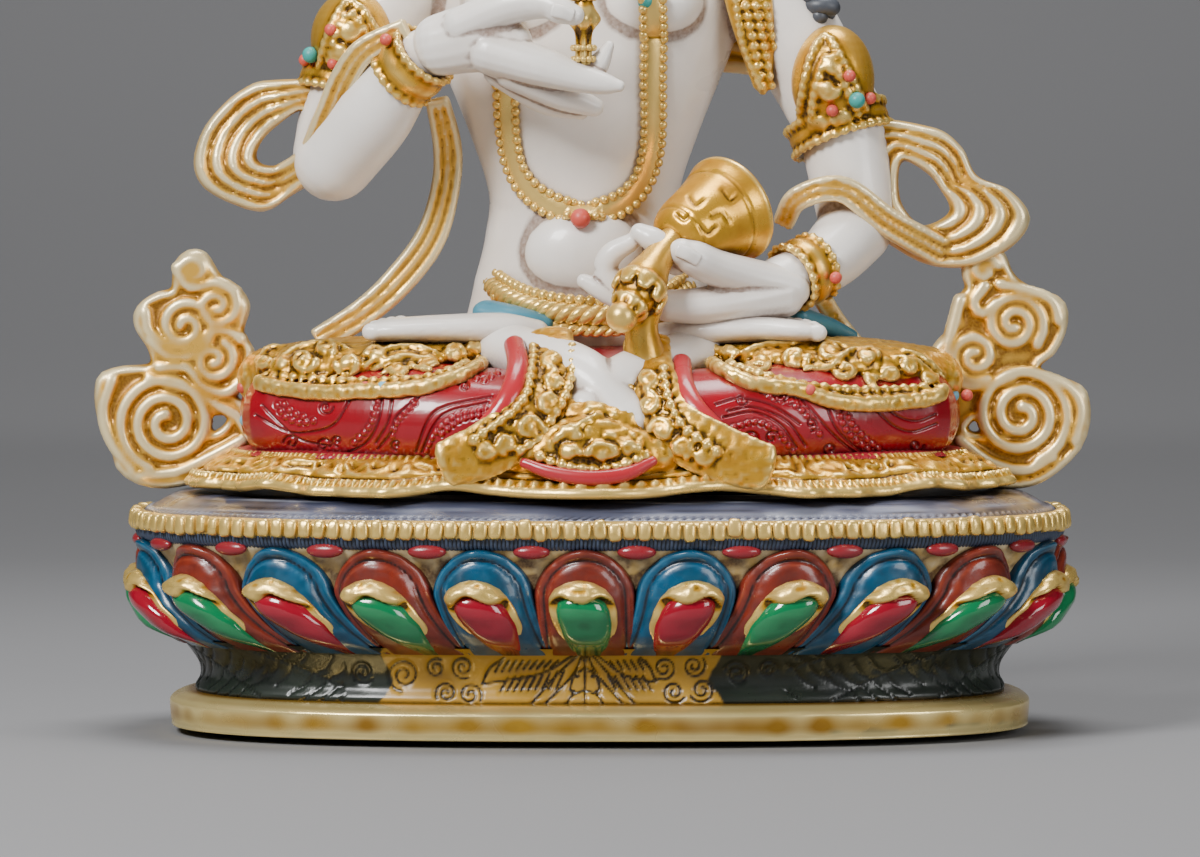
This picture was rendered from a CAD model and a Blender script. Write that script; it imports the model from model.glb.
# A painted resin statue of Vajrasattva on a lotus pedestal. Lengths here are millimetres until a mesh is made.
# Left and right are the viewer's, and the viewer is at -Y.
import math
import bpy
import numpy as np
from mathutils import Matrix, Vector
from mathutils.bvhtree import BVHTree
from mathutils.geometry import tessellate_polygon


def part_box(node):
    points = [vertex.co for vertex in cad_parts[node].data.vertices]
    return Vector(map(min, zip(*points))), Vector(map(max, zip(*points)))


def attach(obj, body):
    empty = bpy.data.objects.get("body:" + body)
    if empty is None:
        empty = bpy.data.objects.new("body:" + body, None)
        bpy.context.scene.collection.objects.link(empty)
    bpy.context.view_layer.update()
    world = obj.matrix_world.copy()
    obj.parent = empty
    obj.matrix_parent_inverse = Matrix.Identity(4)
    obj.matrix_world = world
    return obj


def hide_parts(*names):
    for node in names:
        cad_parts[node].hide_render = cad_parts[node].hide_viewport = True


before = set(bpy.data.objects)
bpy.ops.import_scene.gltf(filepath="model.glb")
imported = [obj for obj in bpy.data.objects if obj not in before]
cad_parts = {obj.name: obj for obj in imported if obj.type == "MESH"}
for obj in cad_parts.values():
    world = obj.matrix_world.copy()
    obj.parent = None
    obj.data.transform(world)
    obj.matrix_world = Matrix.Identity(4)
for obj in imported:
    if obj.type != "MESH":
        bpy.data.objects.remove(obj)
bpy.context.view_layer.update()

MM = 0.001
UP = np.array([0.0, 0.0, 1.0])
FRONT = np.array([0.0, -1.0, 0.0])
BACK = -FRONT
SIDE = np.array([1.0, 0.0, 0.0])
FIGURE, PEDESTAL = "seated_figure", "lotus_pedestal"

# The camera of the photograph, in millimetres, and its picture size in pixels.
EYE = np.array([0.0, -1000.0, 88.0])
AIM = np.array([0.0, 0.0, 47.6])
WIDE, HIGH = 1200, 857
PIXELS_PER_MM = 6.16
FOCAL = PIXELS_PER_MM * float(np.linalg.norm(AIM - EYE))
AHEAD = (AIM - EYE) / np.linalg.norm(AIM - EYE)
ABOVE = np.cross(SIDE, AHEAD)

# Pedestal and figure sizes shared with the solids.
PLAN_POWER, PLAN_FLAT = 2.6, 31.0
FOOT_HALF, FOOT_TOP = 69.8, 5.5
WAIST_HALF, WAIST_TOP = 65.4, 13.4
PETAL_HALF, PETAL_TOP, PETALS = 72.8, 30.5, 24
RIM_HALF, RIM_BOTTOM, RIM_TOP = 76.3, 31.9, 35.2
DISC_TOP = 37.8
PETAL_SHIFT = -2.4
HEM_HALF, HEM_FLAT = 66.5, 26.5
SKIRT_HALF = 61.0
MIDLINE = -2.6


# Pictures' pixels and the model.
def at(u, v, y):
    """The point at depth y that the camera sees at pixel (u, v)."""
    way = AHEAD * FOCAL + SIDE * (u - WIDE / 2) - ABOVE * (v - HIGH / 2)
    return EYE + way * ((y - EYE[1]) / way[1])


def seen(points):
    """The pixels at which the camera sees the points."""
    away = points - EYE
    depth = away @ AHEAD
    return np.stack([WIDE / 2 + FOCAL * (away @ SIDE) / depth, HIGH / 2 - FOCAL * (away @ ABOVE) / depth], axis=1)


# Shapes are (points, quads, triangles) in numpy arrays.
NO_QUADS = np.zeros((0, 4), int)
NO_TRIS = np.zeros((0, 3), int)


def joined(shapes):
    points, quads, tris, base = [], [], [], 0
    for p, q, t in shapes:
        points.append(p)
        quads.append(q + base)
        tris.append(t + base)
        base += len(p)
    return np.concatenate(points), np.concatenate(quads), np.concatenate(tris)


def grid(points, wrap_u=False, wrap_v=False, flip=False):
    """A surface through an array of n by m points."""
    n, m = points.shape[:2]
    index = np.arange(n * m).reshape(n, m)
    if wrap_u:
        index = np.concatenate([index, index[:1]])
    if wrap_v:
        index = np.concatenate([index, index[:, :1]], axis=1)
    a, b, c, d = index[:-1, :-1], index[1:, :-1], index[1:, 1:], index[:-1, 1:]
    order = (a, d, c, b) if flip else (a, b, c, d)
    quads = np.stack([k.ravel() for k in order], axis=1)
    return points.reshape(-1, 3), quads, NO_TRIS


def smooth_line(points, steps=8, closed=False):
    """A Catmull-Rom curve through rows of numbers."""
    p = np.asarray(points, float)
    if len(p) == 2:
        t = np.linspace(0, 1, steps + 1)[:, None]
        return p[0] * (1 - t) + p[1] * t
    if closed:
        p = np.concatenate([p[-1:], p, p[:2]])
    else:
        p = np.concatenate([2 * p[:1] - p[1:2], p, 2 * p[-1:] - p[-2:-1]])
    t = (np.arange(steps) / steps)[:, None]
    rows = []
    for a, b, c, d in zip(p, p[1:], p[2:], p[3:]):
        rows.append(0.5 * (2 * b + (c - a) * t + (2 * a - 5 * b + 4 * c - d) * t**2 + (3 * b - a - 3 * c + d) * t**3))
    if not closed:
        rows.append(p[-2:-1])
    return np.concatenate(rows)


def unit(v):
    return v / np.maximum(np.linalg.norm(v, axis=-1, keepdims=True), 1e-9)


def even(line, pitch):
    """Points at an even pitch along a line, and the line's directions there."""
    lengths = np.linalg.norm(np.diff(line, axis=0), axis=1)
    run = np.concatenate([[0], np.cumsum(lengths)])
    count = max(2, int(round(run[-1] / pitch)) + 1)
    wanted = np.linspace(0, run[-1], count)
    points = np.stack([np.interp(wanted, run, line[:, k]) for k in range(line.shape[1])], axis=1)
    return points, unit(np.gradient(points[:, :3], axis=0))


def bar(stations, sides=24, steps=8, face=UP, cap=4, closed=False):
    """A rounded bar along a smooth curve. A station is [x, y, z, half width, half thickness towards face]."""
    rows = np.array([[*s[:3], s[3], s[4] if len(s) > 4 else s[3]] for s in stations], float)
    line = smooth_line(rows, steps, closed)
    middle, size = line[:, :3], np.maximum(line[:, 3:], 0.02)
    if closed:
        tangent = unit(np.roll(middle, -1, axis=0) - np.roll(middle, 1, axis=0))
    else:
        tangent = unit(np.gradient(middle, axis=0))
    side = unit(np.cross(tangent, face))
    out = np.cross(side, tangent)
    angle = np.arange(sides) * 2 * np.pi / sides
    c, s = np.cos(angle)[None, :, None], np.sin(angle)[None, :, None]

    def rings(m, d, o, w):
        return m[:, None] + d[:, None] * c * w[:, None, None, 0] + o[:, None] * s * w[:, None, None, 1]

    body = rings(middle, side, out, size)
    if closed:
        return grid(body, wrap_u=True, wrap_v=True)
    blocks = []
    for end, sign in ((0, -1), (-1, 1)):
        reach = size[end].min()
        bends = np.arange(1, cap + 1) * np.pi / 2 / (cap + 1)
        m = middle[end] + tangent[end] * sign * (reach * np.sin(bends))[:, None]
        w = size[end] * np.cos(bends)[:, None]
        block = rings(m, np.repeat(side[end][None], cap, 0), np.repeat(out[end][None], cap, 0), w)
        blocks.append((block[::-1] if sign < 0 else block, middle[end] + tangent[end] * sign * reach))
    whole = np.concatenate([blocks[0][0], body, blocks[1][0]])
    points, quads, _ = grid(whole, wrap_v=True)
    first, last = len(points), len(points) + 1
    n = len(whole)
    ring = np.arange(sides)
    following = (ring + 1) % sides
    start = np.stack([np.full(sides, first), ring, following], axis=1)
    end_base = (n - 1) * sides
    finish = np.stack([np.full(sides, last), end_base + following, end_base + ring], axis=1)
    points = np.concatenate([points, blocks[0][1][None], blocks[1][1][None]])
    return points, quads, np.concatenate([start, finish])


def tube(line, radius, sides=8, flat=1.0, face=FRONT, steps=1):
    """A thin bar along a line of points, which may taper: radius is a number or one for each point."""
    line = np.asarray(line, float)
    r = np.broadcast_to(radius, len(line))
    stations = [[*p, w, w * flat] for p, w in zip(line, r)]
    return bar(stations, sides=sides, steps=steps, face=face, cap=2)


def ball(centre, radii, sides=32, rings=16):
    radii = np.broadcast_to(radii, 3)
    around = np.arange(sides) * 2 * np.pi / sides
    down = np.arange(1, rings) * np.pi / rings
    x = np.sin(down)[:, None] * np.cos(around)
    y = np.sin(down)[:, None] * np.sin(around)
    z = np.cos(down)[:, None] + 0 * around
    points, quads, _ = grid(np.stack([x, y, z], axis=-1), wrap_v=True)
    top, bottom = len(points), len(points) + 1
    ring = np.arange(sides)
    following = (ring + 1) % sides
    last = (rings - 2) * sides
    tris = np.concatenate([
        np.stack([np.full(sides, top), ring, following], axis=1),
        np.stack([np.full(sides, bottom), last + following, last + ring], axis=1),
    ])
    points = np.concatenate([points, [[0, 0, 1], [0, 0, -1]]])
    return points * radii + np.asarray(centre, float), quads, tris


def basis(axis, hint=UP):
    """Three directions at right angles, the last along axis."""
    w = unit(np.asarray(axis, float))
    u = np.cross(hint, w)
    u = unit(u if np.linalg.norm(u) > 1e-3 else np.cross(SIDE, w))
    return u, np.cross(w, u), w


def turned(profile, base, axis, sides=48, steps=6, wave=None):
    """A body turned about an axis. The profile is [radius, distance] rows from base along axis."""
    rows = smooth_line(profile, steps) if steps > 1 else np.asarray(profile, float)
    u, v, w = basis(axis)
    angle = np.arange(sides) * 2 * np.pi / sides
    r = np.maximum(rows[:, :1], 0.01) * np.ones(sides)
    if wave is not None:
        r = r * wave(rows[:, 1:2], angle[None])
    around = u * np.cos(angle)[:, None] + v * np.sin(angle)[:, None]
    points = np.asarray(base, float) + r[..., None] * around + rows[:, 1][:, None, None] * w
    whole, quads, _ = grid(points, wrap_v=True)
    ends = len(whole)
    ring = np.arange(sides)
    following = (ring + 1) % sides
    last = (len(rows) - 1) * sides
    tris = np.concatenate([
        np.stack([np.full(sides, ends), following, ring], axis=1),
        np.stack([np.full(sides, ends + 1), last + ring, last + following], axis=1),
    ])
    whole = np.concatenate([whole, points[:1].mean(axis=1), points[-1:].mean(axis=1)])
    return whole, quads[:, ::-1], tris[:, ::-1]


def plate(outline, y, thick, holes=()):
    """A plate cut to outlines of [x, z] points, upright across the view, with its middle at y."""
    loops = [np.asarray(loop, float) for loop in (outline, *holes)]
    flat = np.concatenate(loops)
    tris = np.array(tessellate_polygon([[Vector((x, z, 0)) for x, z in loop] for loop in loops]))
    n = len(flat)
    front = np.stack([flat[:, 0], np.full(n, y - thick / 2), flat[:, 1]], axis=1)
    back = front + [0, thick, 0]
    quads, base = [], 0
    for loop in loops:
        ring = base + np.arange(len(loop))
        following = base + (np.arange(len(loop)) + 1) % len(loop)
        quads.append(np.stack([ring, following, following + n, ring + n], axis=1))
        base += len(loop)
    return np.concatenate([front, back]), np.concatenate(quads), np.concatenate([tris, tris[:, ::-1] + n])


def placed(shape, at_points, normals, sizes, turn=None):
    """Copies of a small shape, each with its +Z along a normal, its +X along turn, and scaled."""
    p, q, t = shape
    normals = unit(np.broadcast_to(normals, np.shape(at_points)))
    hint = np.broadcast_to(turn if turn is not None else [0.3, 0.2, 0.93], np.shape(at_points))
    x = unit(hint - normals * np.sum(hint * normals, axis=1, keepdims=True))
    y = np.cross(normals, x)
    sizes = np.asarray(sizes, float)
    sizes = np.broadcast_to(sizes if sizes.ndim == 2 else np.atleast_1d(sizes).reshape(-1, 1) * np.ones(3), (len(at_points), 3))
    frames = np.stack([x, y, normals], axis=1) * sizes[:, :, None]
    points = np.einsum("pk,nkc->npc", p, frames) + np.asarray(at_points)[:, None]
    step = np.arange(len(at_points))[:, None, None] * len(p)
    return points.reshape(-1, 3), (q[None] + step).reshape(-1, 4), (t[None] + step).reshape(-1, 3)


PEARL_DROP = ball((0, 0, 0), 1.0, sides=10, rings=7)


def beads(points, radius, normals=FRONT, squash=0.85):
    radius = np.broadcast_to(radius, len(points))
    return placed(PEARL_DROP, points, normals, np.stack([radius, radius, radius * squash], axis=1))


def normals_of(points, quads, tris):
    normal = np.zeros_like(points)
    for faces in (quads, tris):
        if not len(faces):
            continue
        p = points[faces]
        n = np.cross(p[:, 2] - p[:, 0], p[:, 3] - p[:, 1]) if faces.shape[1] == 4 else np.cross(p[:, 1] - p[:, 0], p[:, 2] - p[:, 0])
        for k in range(3):
            for corner in range(faces.shape[1]):
                normal[:, k] += np.bincount(faces[:, corner], weights=n[:, k], minlength=len(points))
    return unit(normal)


def neighbours(count, quads, tris):
    """A function that gives the mean of each point's neighbours' values."""
    pairs = [quads[:, [k, (k + 1) % 4]] for k in range(4)] + [tris[:, [k, (k + 1) % 3]] for k in range(3)]
    edges = np.concatenate(pairs)
    a, b = np.concatenate([edges[:, 0], edges[:, 1]]), np.concatenate([edges[:, 1], edges[:, 0]])
    weight = np.maximum(np.bincount(a, minlength=count), 1)

    def mean(values):
        columns = [np.bincount(a, weights=values[b, k], minlength=count) / weight for k in range(values.shape[1])]
        return np.stack(columns, axis=1)

    return mean


def relaxed(shape, rounds):
    """Smoothed without shrinking."""
    points, quads, tris = shape
    mean = neighbours(len(points), quads, tris)
    for _ in range(rounds):
        points = points + 0.5 * (mean(points) - points)
        points = points - 0.52 * (mean(points) - points)
    return points, quads, tris


def to_mesh(name, shape):
    points, quads, tris = shape
    mesh = bpy.data.meshes.new(name)
    mesh.vertices.add(len(points))
    mesh.vertices.foreach_set("co", (np.asarray(points) * MM).astype(np.float32).ravel())
    corners = np.concatenate([quads.ravel(), tris.ravel()]).astype(np.int32)
    mesh.loops.add(len(corners))
    mesh.loops.foreach_set("vertex_index", corners)
    starts = np.concatenate([np.arange(len(quads)) * 4, len(quads) * 4 + np.arange(len(tris)) * 3]).astype(np.int32)
    mesh.polygons.add(len(starts))
    mesh.polygons.foreach_set("loop_start", starts)
    mesh.update(calc_edges=True)
    mesh.validate()
    return mesh


def fuse(shapes, voxel=0.45, rounds=3):
    """One skin over closed shapes that run into each other, with every crease a little softened."""
    mesh = to_mesh("fusing", joined(shapes))
    thing = bpy.data.objects.new("fusing", mesh)
    bpy.context.scene.collection.objects.link(thing)
    remesh = thing.modifiers.new("fuse", "REMESH")
    remesh.mode = "VOXEL"
    remesh.voxel_size = voxel * MM
    made = thing.evaluated_get(bpy.context.evaluated_depsgraph_get()).to_mesh()
    points = np.zeros(len(made.vertices) * 3)
    made.vertices.foreach_get("co", points)
    corners = np.zeros(len(made.loops), np.int32)
    made.loops.foreach_get("vertex_index", corners)
    quads = corners.reshape(-1, 4).astype(int)
    bpy.data.objects.remove(thing)
    bpy.data.meshes.remove(mesh)
    return relaxed((points.reshape(-1, 3) / MM, quads, NO_TRIS), rounds)


def cavity(shape, scale=10, span=0.25):
    """For each point, above 0.5 on ridges and below it in hollows."""
    points, quads, tris = shape
    mean = neighbours(len(points), quads, tris)
    blurred = points
    for _ in range(scale):
        blurred = mean(blurred)
    rise = np.sum((points - blurred) * normals_of(points, quads, tris), axis=1)
    return np.clip(0.5 + rise / span, 0, 1)


class Ground:
    """Surfaces that relief is set on, found from the camera's pixels."""

    def __init__(self, *shapes):
        points, quads, tris = joined(shapes)
        faces = quads.tolist() + tris.tolist()
        self.tree = BVHTree.FromPolygons(points.tolist(), faces)

    def hit(self, u, v, lift=0.0):
        way = unit(AHEAD * FOCAL + SIDE * (u - WIDE / 2) - ABOVE * (v - HIGH / 2))
        where, normal, _, _ = self.tree.ray_cast(Vector(EYE), Vector(way))
        if where is None:
            return None, None
        n = np.array(normal)
        if n @ way > 0:
            n = -n
        return np.array(where) + n * lift, n

    def line(self, pixels, lift=0.0, steps=6, pitch=3.0):
        """A smooth line through pixels, laid on the surface: its points and their normals."""
        track, _ = even(smooth_line(pixels, steps), pitch)
        hits = [self.hit(u, v, lift) for u, v in track[:, :2]]
        kept = [h for h in hits if h[0] is not None]
        return np.array([h[0] for h in kept]), np.array([h[1] for h in kept])

    def drop(self, point, way, lift=0.0):
        where, normal, _, _ = self.tree.ray_cast(Vector(point), Vector(way))
        if where is None:
            return None, None
        return np.array(where) + np.array(normal) * lift, np.array(normal)


def spiral(u, v, size, turns=1.4, start=0.0, hand=1, inner=0.16, squash=1.0):
    """Pixels of a volute about (u, v), from its outer end in to its eye."""
    t = np.linspace(0, 1, int(10 * turns) + 6)
    angle = math.radians(start) + hand * t * turns * 2 * np.pi
    r = size * (1 - (1 - inner) * t)
    return np.stack([u + r * np.cos(angle), v + r * np.sin(angle) * squash], axis=1)


def near(pixels, lines):
    """How far each pixel is from the nearest of some lines of pixels."""
    marks = np.concatenate([even(smooth_line(line, 6), 0.8)[0][:, :2] for line in lines])
    best = np.full(len(pixels), 1e9)
    for chunk in np.array_split(np.arange(len(pixels)), max(1, len(pixels) * len(marks) // 4_000_000 + 1)):
        gap = pixels[chunk][:, None] - marks[None]
        best[chunk] = np.sqrt((gap**2).sum(axis=2)).min(axis=1)
    return best


def hash_noise(points, size, seed=0):
    """Smooth noise from 0 to 1 with lumps of the given size."""
    p = np.asarray(points) / size + seed * 17.3
    cell = np.floor(p).astype(np.int64)
    f = p - cell
    f = f * f * (3 - 2 * f)
    total = np.zeros(len(p))
    for dx in (0, 1):
        for dy in (0, 1):
            for dz in (0, 1):
                c = cell + [dx, dy, dz]
                h = (c[:, 0] * 73856093) ^ (c[:, 1] * 19349663) ^ (c[:, 2] * 83492791) ^ (seed * 2654435)
                h = (h ^ (h >> 13)) * 1274126177 & 0x7FFFFFFF
                h = (h ^ (h >> 16)) & 0xFFFF
                weight = np.ones(len(p))
                for axis, d in enumerate((dx, dy, dz)):
                    weight *= f[:, axis] if d else 1 - f[:, axis]
                total += weight * h / 65535
    return total


# Materials. Each reads two values kept on the mesh: "cav", high on ridges and low in hollows, and "mask".
def paint(name, base, second, wash, light, rough=0.35, metal=0.0, coat=0.0, reach=1.6, wash_amount=0.9,
          edge=0.5, patch=160.0, grain=2600.0, bump=0.12, other=None, specks=None, stretch=None, hollow=(0.47, 0.2)):
    material = bpy.data.materials.new(name)
    material.use_nodes = True
    tree = material.node_tree
    tree.nodes.clear()

    def node(kind, **values):
        made = tree.nodes.new(kind)
        for key, value in values.items():
            if isinstance(value, bpy.types.NodeSocket):
                tree.links.new(value, made.inputs[key.replace("_", " ")])
            else:
                made.inputs[key.replace("_", " ")].default_value = value
        return made

    def ranged(value, low, high, to_low=0.0, to_high=1.0):
        return node("ShaderNodeMapRange", Value=value, From_Min=low, From_Max=high, To_Min=to_low, To_Max=to_high).outputs[0]

    def math_of(kind, a, b):
        made = tree.nodes.new("ShaderNodeMath")
        made.operation = kind
        for k, value in enumerate((a, b)):
            if isinstance(value, bpy.types.NodeSocket):
                tree.links.new(value, made.inputs[k])
            else:
                made.inputs[k].default_value = value
        return made.outputs[0]

    def mixed(share, a, b):
        made = tree.nodes.new("ShaderNodeMix")
        made.data_type = "RGBA"
        tree.links.new(share, made.inputs[0])
        for k, value in ((6, a), (7, b)):
            if isinstance(value, bpy.types.NodeSocket):
                tree.links.new(value, made.inputs[k])
            else:
                made.inputs[k].default_value = (*value, 1)
        return made.outputs[2]

    place = tree.nodes.new("ShaderNodeTexCoord").outputs["Object"]
    if stretch:
        mapping = tree.nodes.new("ShaderNodeMapping")
        mapping.inputs["Scale"].default_value = stretch
        tree.links.new(place, mapping.inputs["Vector"])
        place = mapping.outputs["Vector"]
    broad = node("ShaderNodeTexNoise", Vector=place, Scale=patch, Detail=4.0).outputs[0]
    fine = node("ShaderNodeTexNoise", Vector=place, Scale=grain, Detail=3.0).outputs[0]
    kept = tree.nodes.new("ShaderNodeAttribute")
    kept.attribute_name = "cav"
    cav = kept.outputs["Fac"]
    shade = tree.nodes.new("ShaderNodeAmbientOcclusion")
    shade.samples = 5
    shade.inputs["Distance"].default_value = reach * MM
    colour = mixed(ranged(broad, 0.35, 0.65), base, second)
    if other:
        masked = tree.nodes.new("ShaderNodeAttribute")
        masked.attribute_name = "mask"
        colour = mixed(masked.outputs["Fac"], colour, other)
    if specks:
        spread = node("ShaderNodeTexNoise", Vector=place, Scale=specks[1], Detail=2.0).outputs[0]
        colour = mixed(ranged(spread, specks[2], specks[2] + 0.03), colour, specks[0])
    crease = ranged(shade.outputs["AO"], 0.86, 0.3)
    hollows = ranged(cav, hollow[0], hollow[1])
    uneven = ranged(fine, 0.3, 0.7, 0.75, 1.1)
    worn = math_of("MULTIPLY", math_of("MULTIPLY", math_of("MAXIMUM", crease, hollows), uneven), wash_amount)
    colour = mixed(worn, colour, wash)
    ridges = math_of("MULTIPLY", ranged(cav, 0.56, 0.85), edge)
    colour = mixed(ridges, colour, light)
    gloss = ranged(broad, 0.3, 0.7, rough - 0.07, rough + 0.09)
    raised = node("ShaderNodeBump", Height=fine, Strength=bump, Distance=0.1 * MM)
    surface = node("ShaderNodeBsdfPrincipled", Base_Color=colour, Roughness=gloss, Metallic=metal, Coat_Weight=coat)
    surface.inputs["Coat Roughness"].default_value = 0.12
    tree.links.new(raised.outputs["Normal"], surface.inputs["Normal"])
    out = tree.nodes.new("ShaderNodeOutputMaterial")
    tree.links.new(surface.outputs[0], out.inputs["Surface"])
    return material


UMBER = (0.04, 0.018, 0.005)
GOLD = paint("antique gold", (0.82, 0.44, 0.035), (0.62, 0.29, 0.018), UMBER, (1.0, 0.76, 0.26), rough=0.3, metal=0.65,
             reach=1.5, wash_amount=0.97, edge=0.65, patch=240.0, bump=0.25)
CREAM_GOLD = paint("rubbed gold", (0.86, 0.5, 0.08), (0.74, 0.36, 0.03), (0.2, 0.08, 0.008), (1.0, 0.84, 0.48), rough=0.34,
                   metal=0.5, reach=2.2, wash_amount=0.9, edge=0.9, patch=140.0, bump=0.12)
PEARL = paint("pearl skin", (0.88, 0.82, 0.75), (0.8, 0.73, 0.66), (0.17, 0.085, 0.05), (0.96, 0.94, 0.9), rough=0.34,
              coat=0.3, reach=3.0, wash_amount=0.8, edge=0.4, patch=90.0, grain=1500.0, bump=0.05)
CRIMSON = paint("crimson cloth", (0.33, 0.002, 0.012), (0.25, 0.001, 0.008), (0.05, 0.001, 0.003), (0.55, 0.04, 0.05), rough=0.28,
                coat=0.4, reach=1.2, wash_amount=0.85, edge=0.55, patch=120.0, bump=0.05)
PINK = paint("skirt red", (0.44, 0.025, 0.04), (0.33, 0.012, 0.022), (0.1, 0.006, 0.008), (0.68, 0.2, 0.22), rough=0.38,
             coat=0.25, reach=1.4, wash_amount=0.85, edge=0.8, patch=200.0, bump=0.1)
TEAL = paint("teal cloth", (0.02, 0.15, 0.24), (0.012, 0.08, 0.13), (0.005, 0.02, 0.025), (0.1, 0.34, 0.44), rough=0.4,
             reach=1.6, wash_amount=0.9, patch=160.0)
BLACK = paint("black hair", (0.008, 0.008, 0.01), (0.014, 0.014, 0.018), (0.002, 0.002, 0.002), (0.09, 0.1, 0.12), rough=0.36,
              reach=1.0, wash_amount=0.8, edge=0.6)
RUST = paint("rust petal", (0.2, 0.022, 0.01), (0.11, 0.013, 0.007), (0.008, 0.003, 0.003), (0.42, 0.075, 0.03), rough=0.32,
             coat=0.25, reach=1.0, wash_amount=0.95, edge=0.6, patch=260.0, bump=0.15)
BLUE = paint("blue petal", (0.004, 0.075, 0.155), (0.003, 0.045, 0.09), (0.002, 0.004, 0.007), (0.06, 0.25, 0.4), rough=0.32,
             coat=0.25, reach=1.0, wash_amount=0.95, edge=0.6, patch=260.0, bump=0.15)
CREAM = paint("cream ground", (0.5, 0.33, 0.1), (0.58, 0.46, 0.26), (0.08, 0.035, 0.012), (0.76, 0.66, 0.44), rough=0.42,
              reach=1.2, patch=350.0, bump=0.2)
OXBLOOD = paint("oxblood", (0.19, 0.003, 0.01), (0.11, 0.002, 0.006), (0.015, 0.001, 0.002), (0.38, 0.03, 0.04), rough=0.3,
                coat=0.3, patch=500.0)
CHIP = (0.62, 0.5, 0.36)
RUBY = paint("red gem", (0.24, 0.001, 0.012), (0.14, 0.0, 0.006), (0.02, 0.0, 0.002), (0.42, 0.01, 0.03), rough=0.12,
             coat=0.7, reach=0.9, wash_amount=0.85, patch=180.0, bump=0.03, specks=(CHIP, 260.0, 0.73))
EMERALD = paint("green gem", (0.0, 0.12, 0.035), (0.0, 0.05, 0.014), (0.0, 0.008, 0.003), (0.015, 0.28, 0.1), rough=0.12,
                coat=0.7, reach=0.9, wash_amount=0.9, patch=200.0, bump=0.03, specks=(CHIP, 260.0, 0.73))
INK = paint("black band", (0.008, 0.009, 0.013), (0.014, 0.018, 0.03), (0.002, 0.002, 0.003), (0.07, 0.1, 0.17), rough=0.34,
            reach=0.8, patch=300.0, bump=0.2)
DISC = paint("navy disc", (0.035, 0.045, 0.09), (0.12, 0.13, 0.19), (0.005, 0.005, 0.01), (0.26, 0.28, 0.34), rough=0.32, coat=0.2,
             reach=3.0, wash_amount=0.97, edge=0.75, patch=90.0, grain=900.0, bump=0.3, stretch=(0.12, 1.0, 1.0),
             other=(0.28, 0.18, 0.07), specks=((0.36, 0.29, 0.16), 260.0, 0.7))
WAIST = paint("waist green", (0.018, 0.025, 0.018), (0.011, 0.016, 0.013), (0.002, 0.002, 0.002), (0.1, 0.12, 0.1), rough=0.32,
              reach=0.9, wash_amount=0.97, edge=0.5, patch=120.0, bump=0.15, other=(0.42, 0.24, 0.03))
FOOT = paint("foot gold", (0.55, 0.31, 0.03), (0.36, 0.18, 0.02), (0.05, 0.025, 0.008), (1.0, 0.82, 0.36), rough=0.26, metal=0.65,
             reach=1.6, wash_amount=0.85, edge=0.8, patch=70.0, bump=0.15, other=(0.016, 0.012, 0.008))
CORAL = paint("coral bead", (0.56, 0.04, 0.028), (0.48, 0.03, 0.02), (0.25, 0.012, 0.01), (0.75, 0.14, 0.1), rough=0.42,
              reach=0.6, wash_amount=0.4, patch=900.0, bump=0.1)
SKY = paint("light blue bead", (0.1, 0.38, 0.52), (0.08, 0.32, 0.46), (0.03, 0.12, 0.17), (0.28, 0.58, 0.7), rough=0.45,
            reach=0.6, wash_amount=0.4, patch=900.0, bump=0.1)
TURQUOISE = paint("turquoise bead", (0.0, 0.24, 0.22), (0.0, 0.19, 0.17), (0.0, 0.06, 0.06), (0.08, 0.46, 0.42), rough=0.42,
                  reach=0.6, wash_amount=0.4, patch=900.0, bump=0.1)


def piece(name, shape, material, stands_for=(FIGURE,), mask=None, cav=None, scale=10, span=0.25):
    mesh = to_mesh(name, shape)
    kept = cavity(shape, scale, span) if cav is None else cav
    mesh.attributes.new("cav", "FLOAT", "POINT").data.foreach_set("value", kept.astype(np.float32))
    if mask is not None:
        mesh.attributes.new("mask", "FLOAT", "POINT").data.foreach_set("value", np.clip(mask, 0, 1).astype(np.float32))
    mesh.polygons.foreach_set("use_smooth", np.ones(len(mesh.polygons), bool))
    mesh.materials.append(material)
    thing = bpy.data.objects.new(name, mesh)
    bpy.context.scene.collection.objects.link(thing)
    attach(thing, "root")
    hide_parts(*stands_for)
    return thing


# The pedestal, on its plan: a superellipse whose half depth is PLAN_FLAT less than its half width.
def plan(half, angle, flat=PLAN_FLAT):
    power = 2 / PLAN_POWER
    s, c = np.sin(angle), np.cos(angle)
    return np.stack([half * np.sign(s) * np.abs(s) ** power, -(half - flat) * np.sign(c) * np.abs(c) ** power], axis=-1)


TURNS = np.linspace(0, 2 * np.pi, 40001)
RUN = np.concatenate([[0], np.cumsum(np.linalg.norm(np.diff(plan(PETAL_HALF, TURNS), axis=0), axis=1))])
WHOLE = float(RUN[-1])


def angle_at(s):
    return np.interp(np.mod(s, WHOLE), RUN, TURNS)


def round_plan(s, half, z, flat=PLAN_FLAT):
    """Points round the plan: s millimetres along the petals' line from the front's middle towards +X."""
    s, half, z = np.broadcast_arrays(np.asarray(s, float), half, z)
    xy = plan(half, angle_at(s), flat)
    return np.concatenate([xy, z[..., None]], axis=-1)


def outward(s, flat=PLAN_FLAT):
    d = round_plan(np.asarray(s) + 0.3, PETAL_HALF, 0, flat) - round_plan(np.asarray(s) - 0.3, PETAL_HALF, 0, flat)
    return unit(np.stack([d[..., 1], -d[..., 0], 0 * d[..., 0]], axis=-1))


def ways_round(front_step, back_step):
    """Places along the plan, closer together where the viewer sees them."""
    half = WHOLE / 4 + 12
    front = np.arange(-half, half, front_step)
    back = np.arange(half, WHOLE - half, back_step)
    return np.concatenate([front, back])


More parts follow.
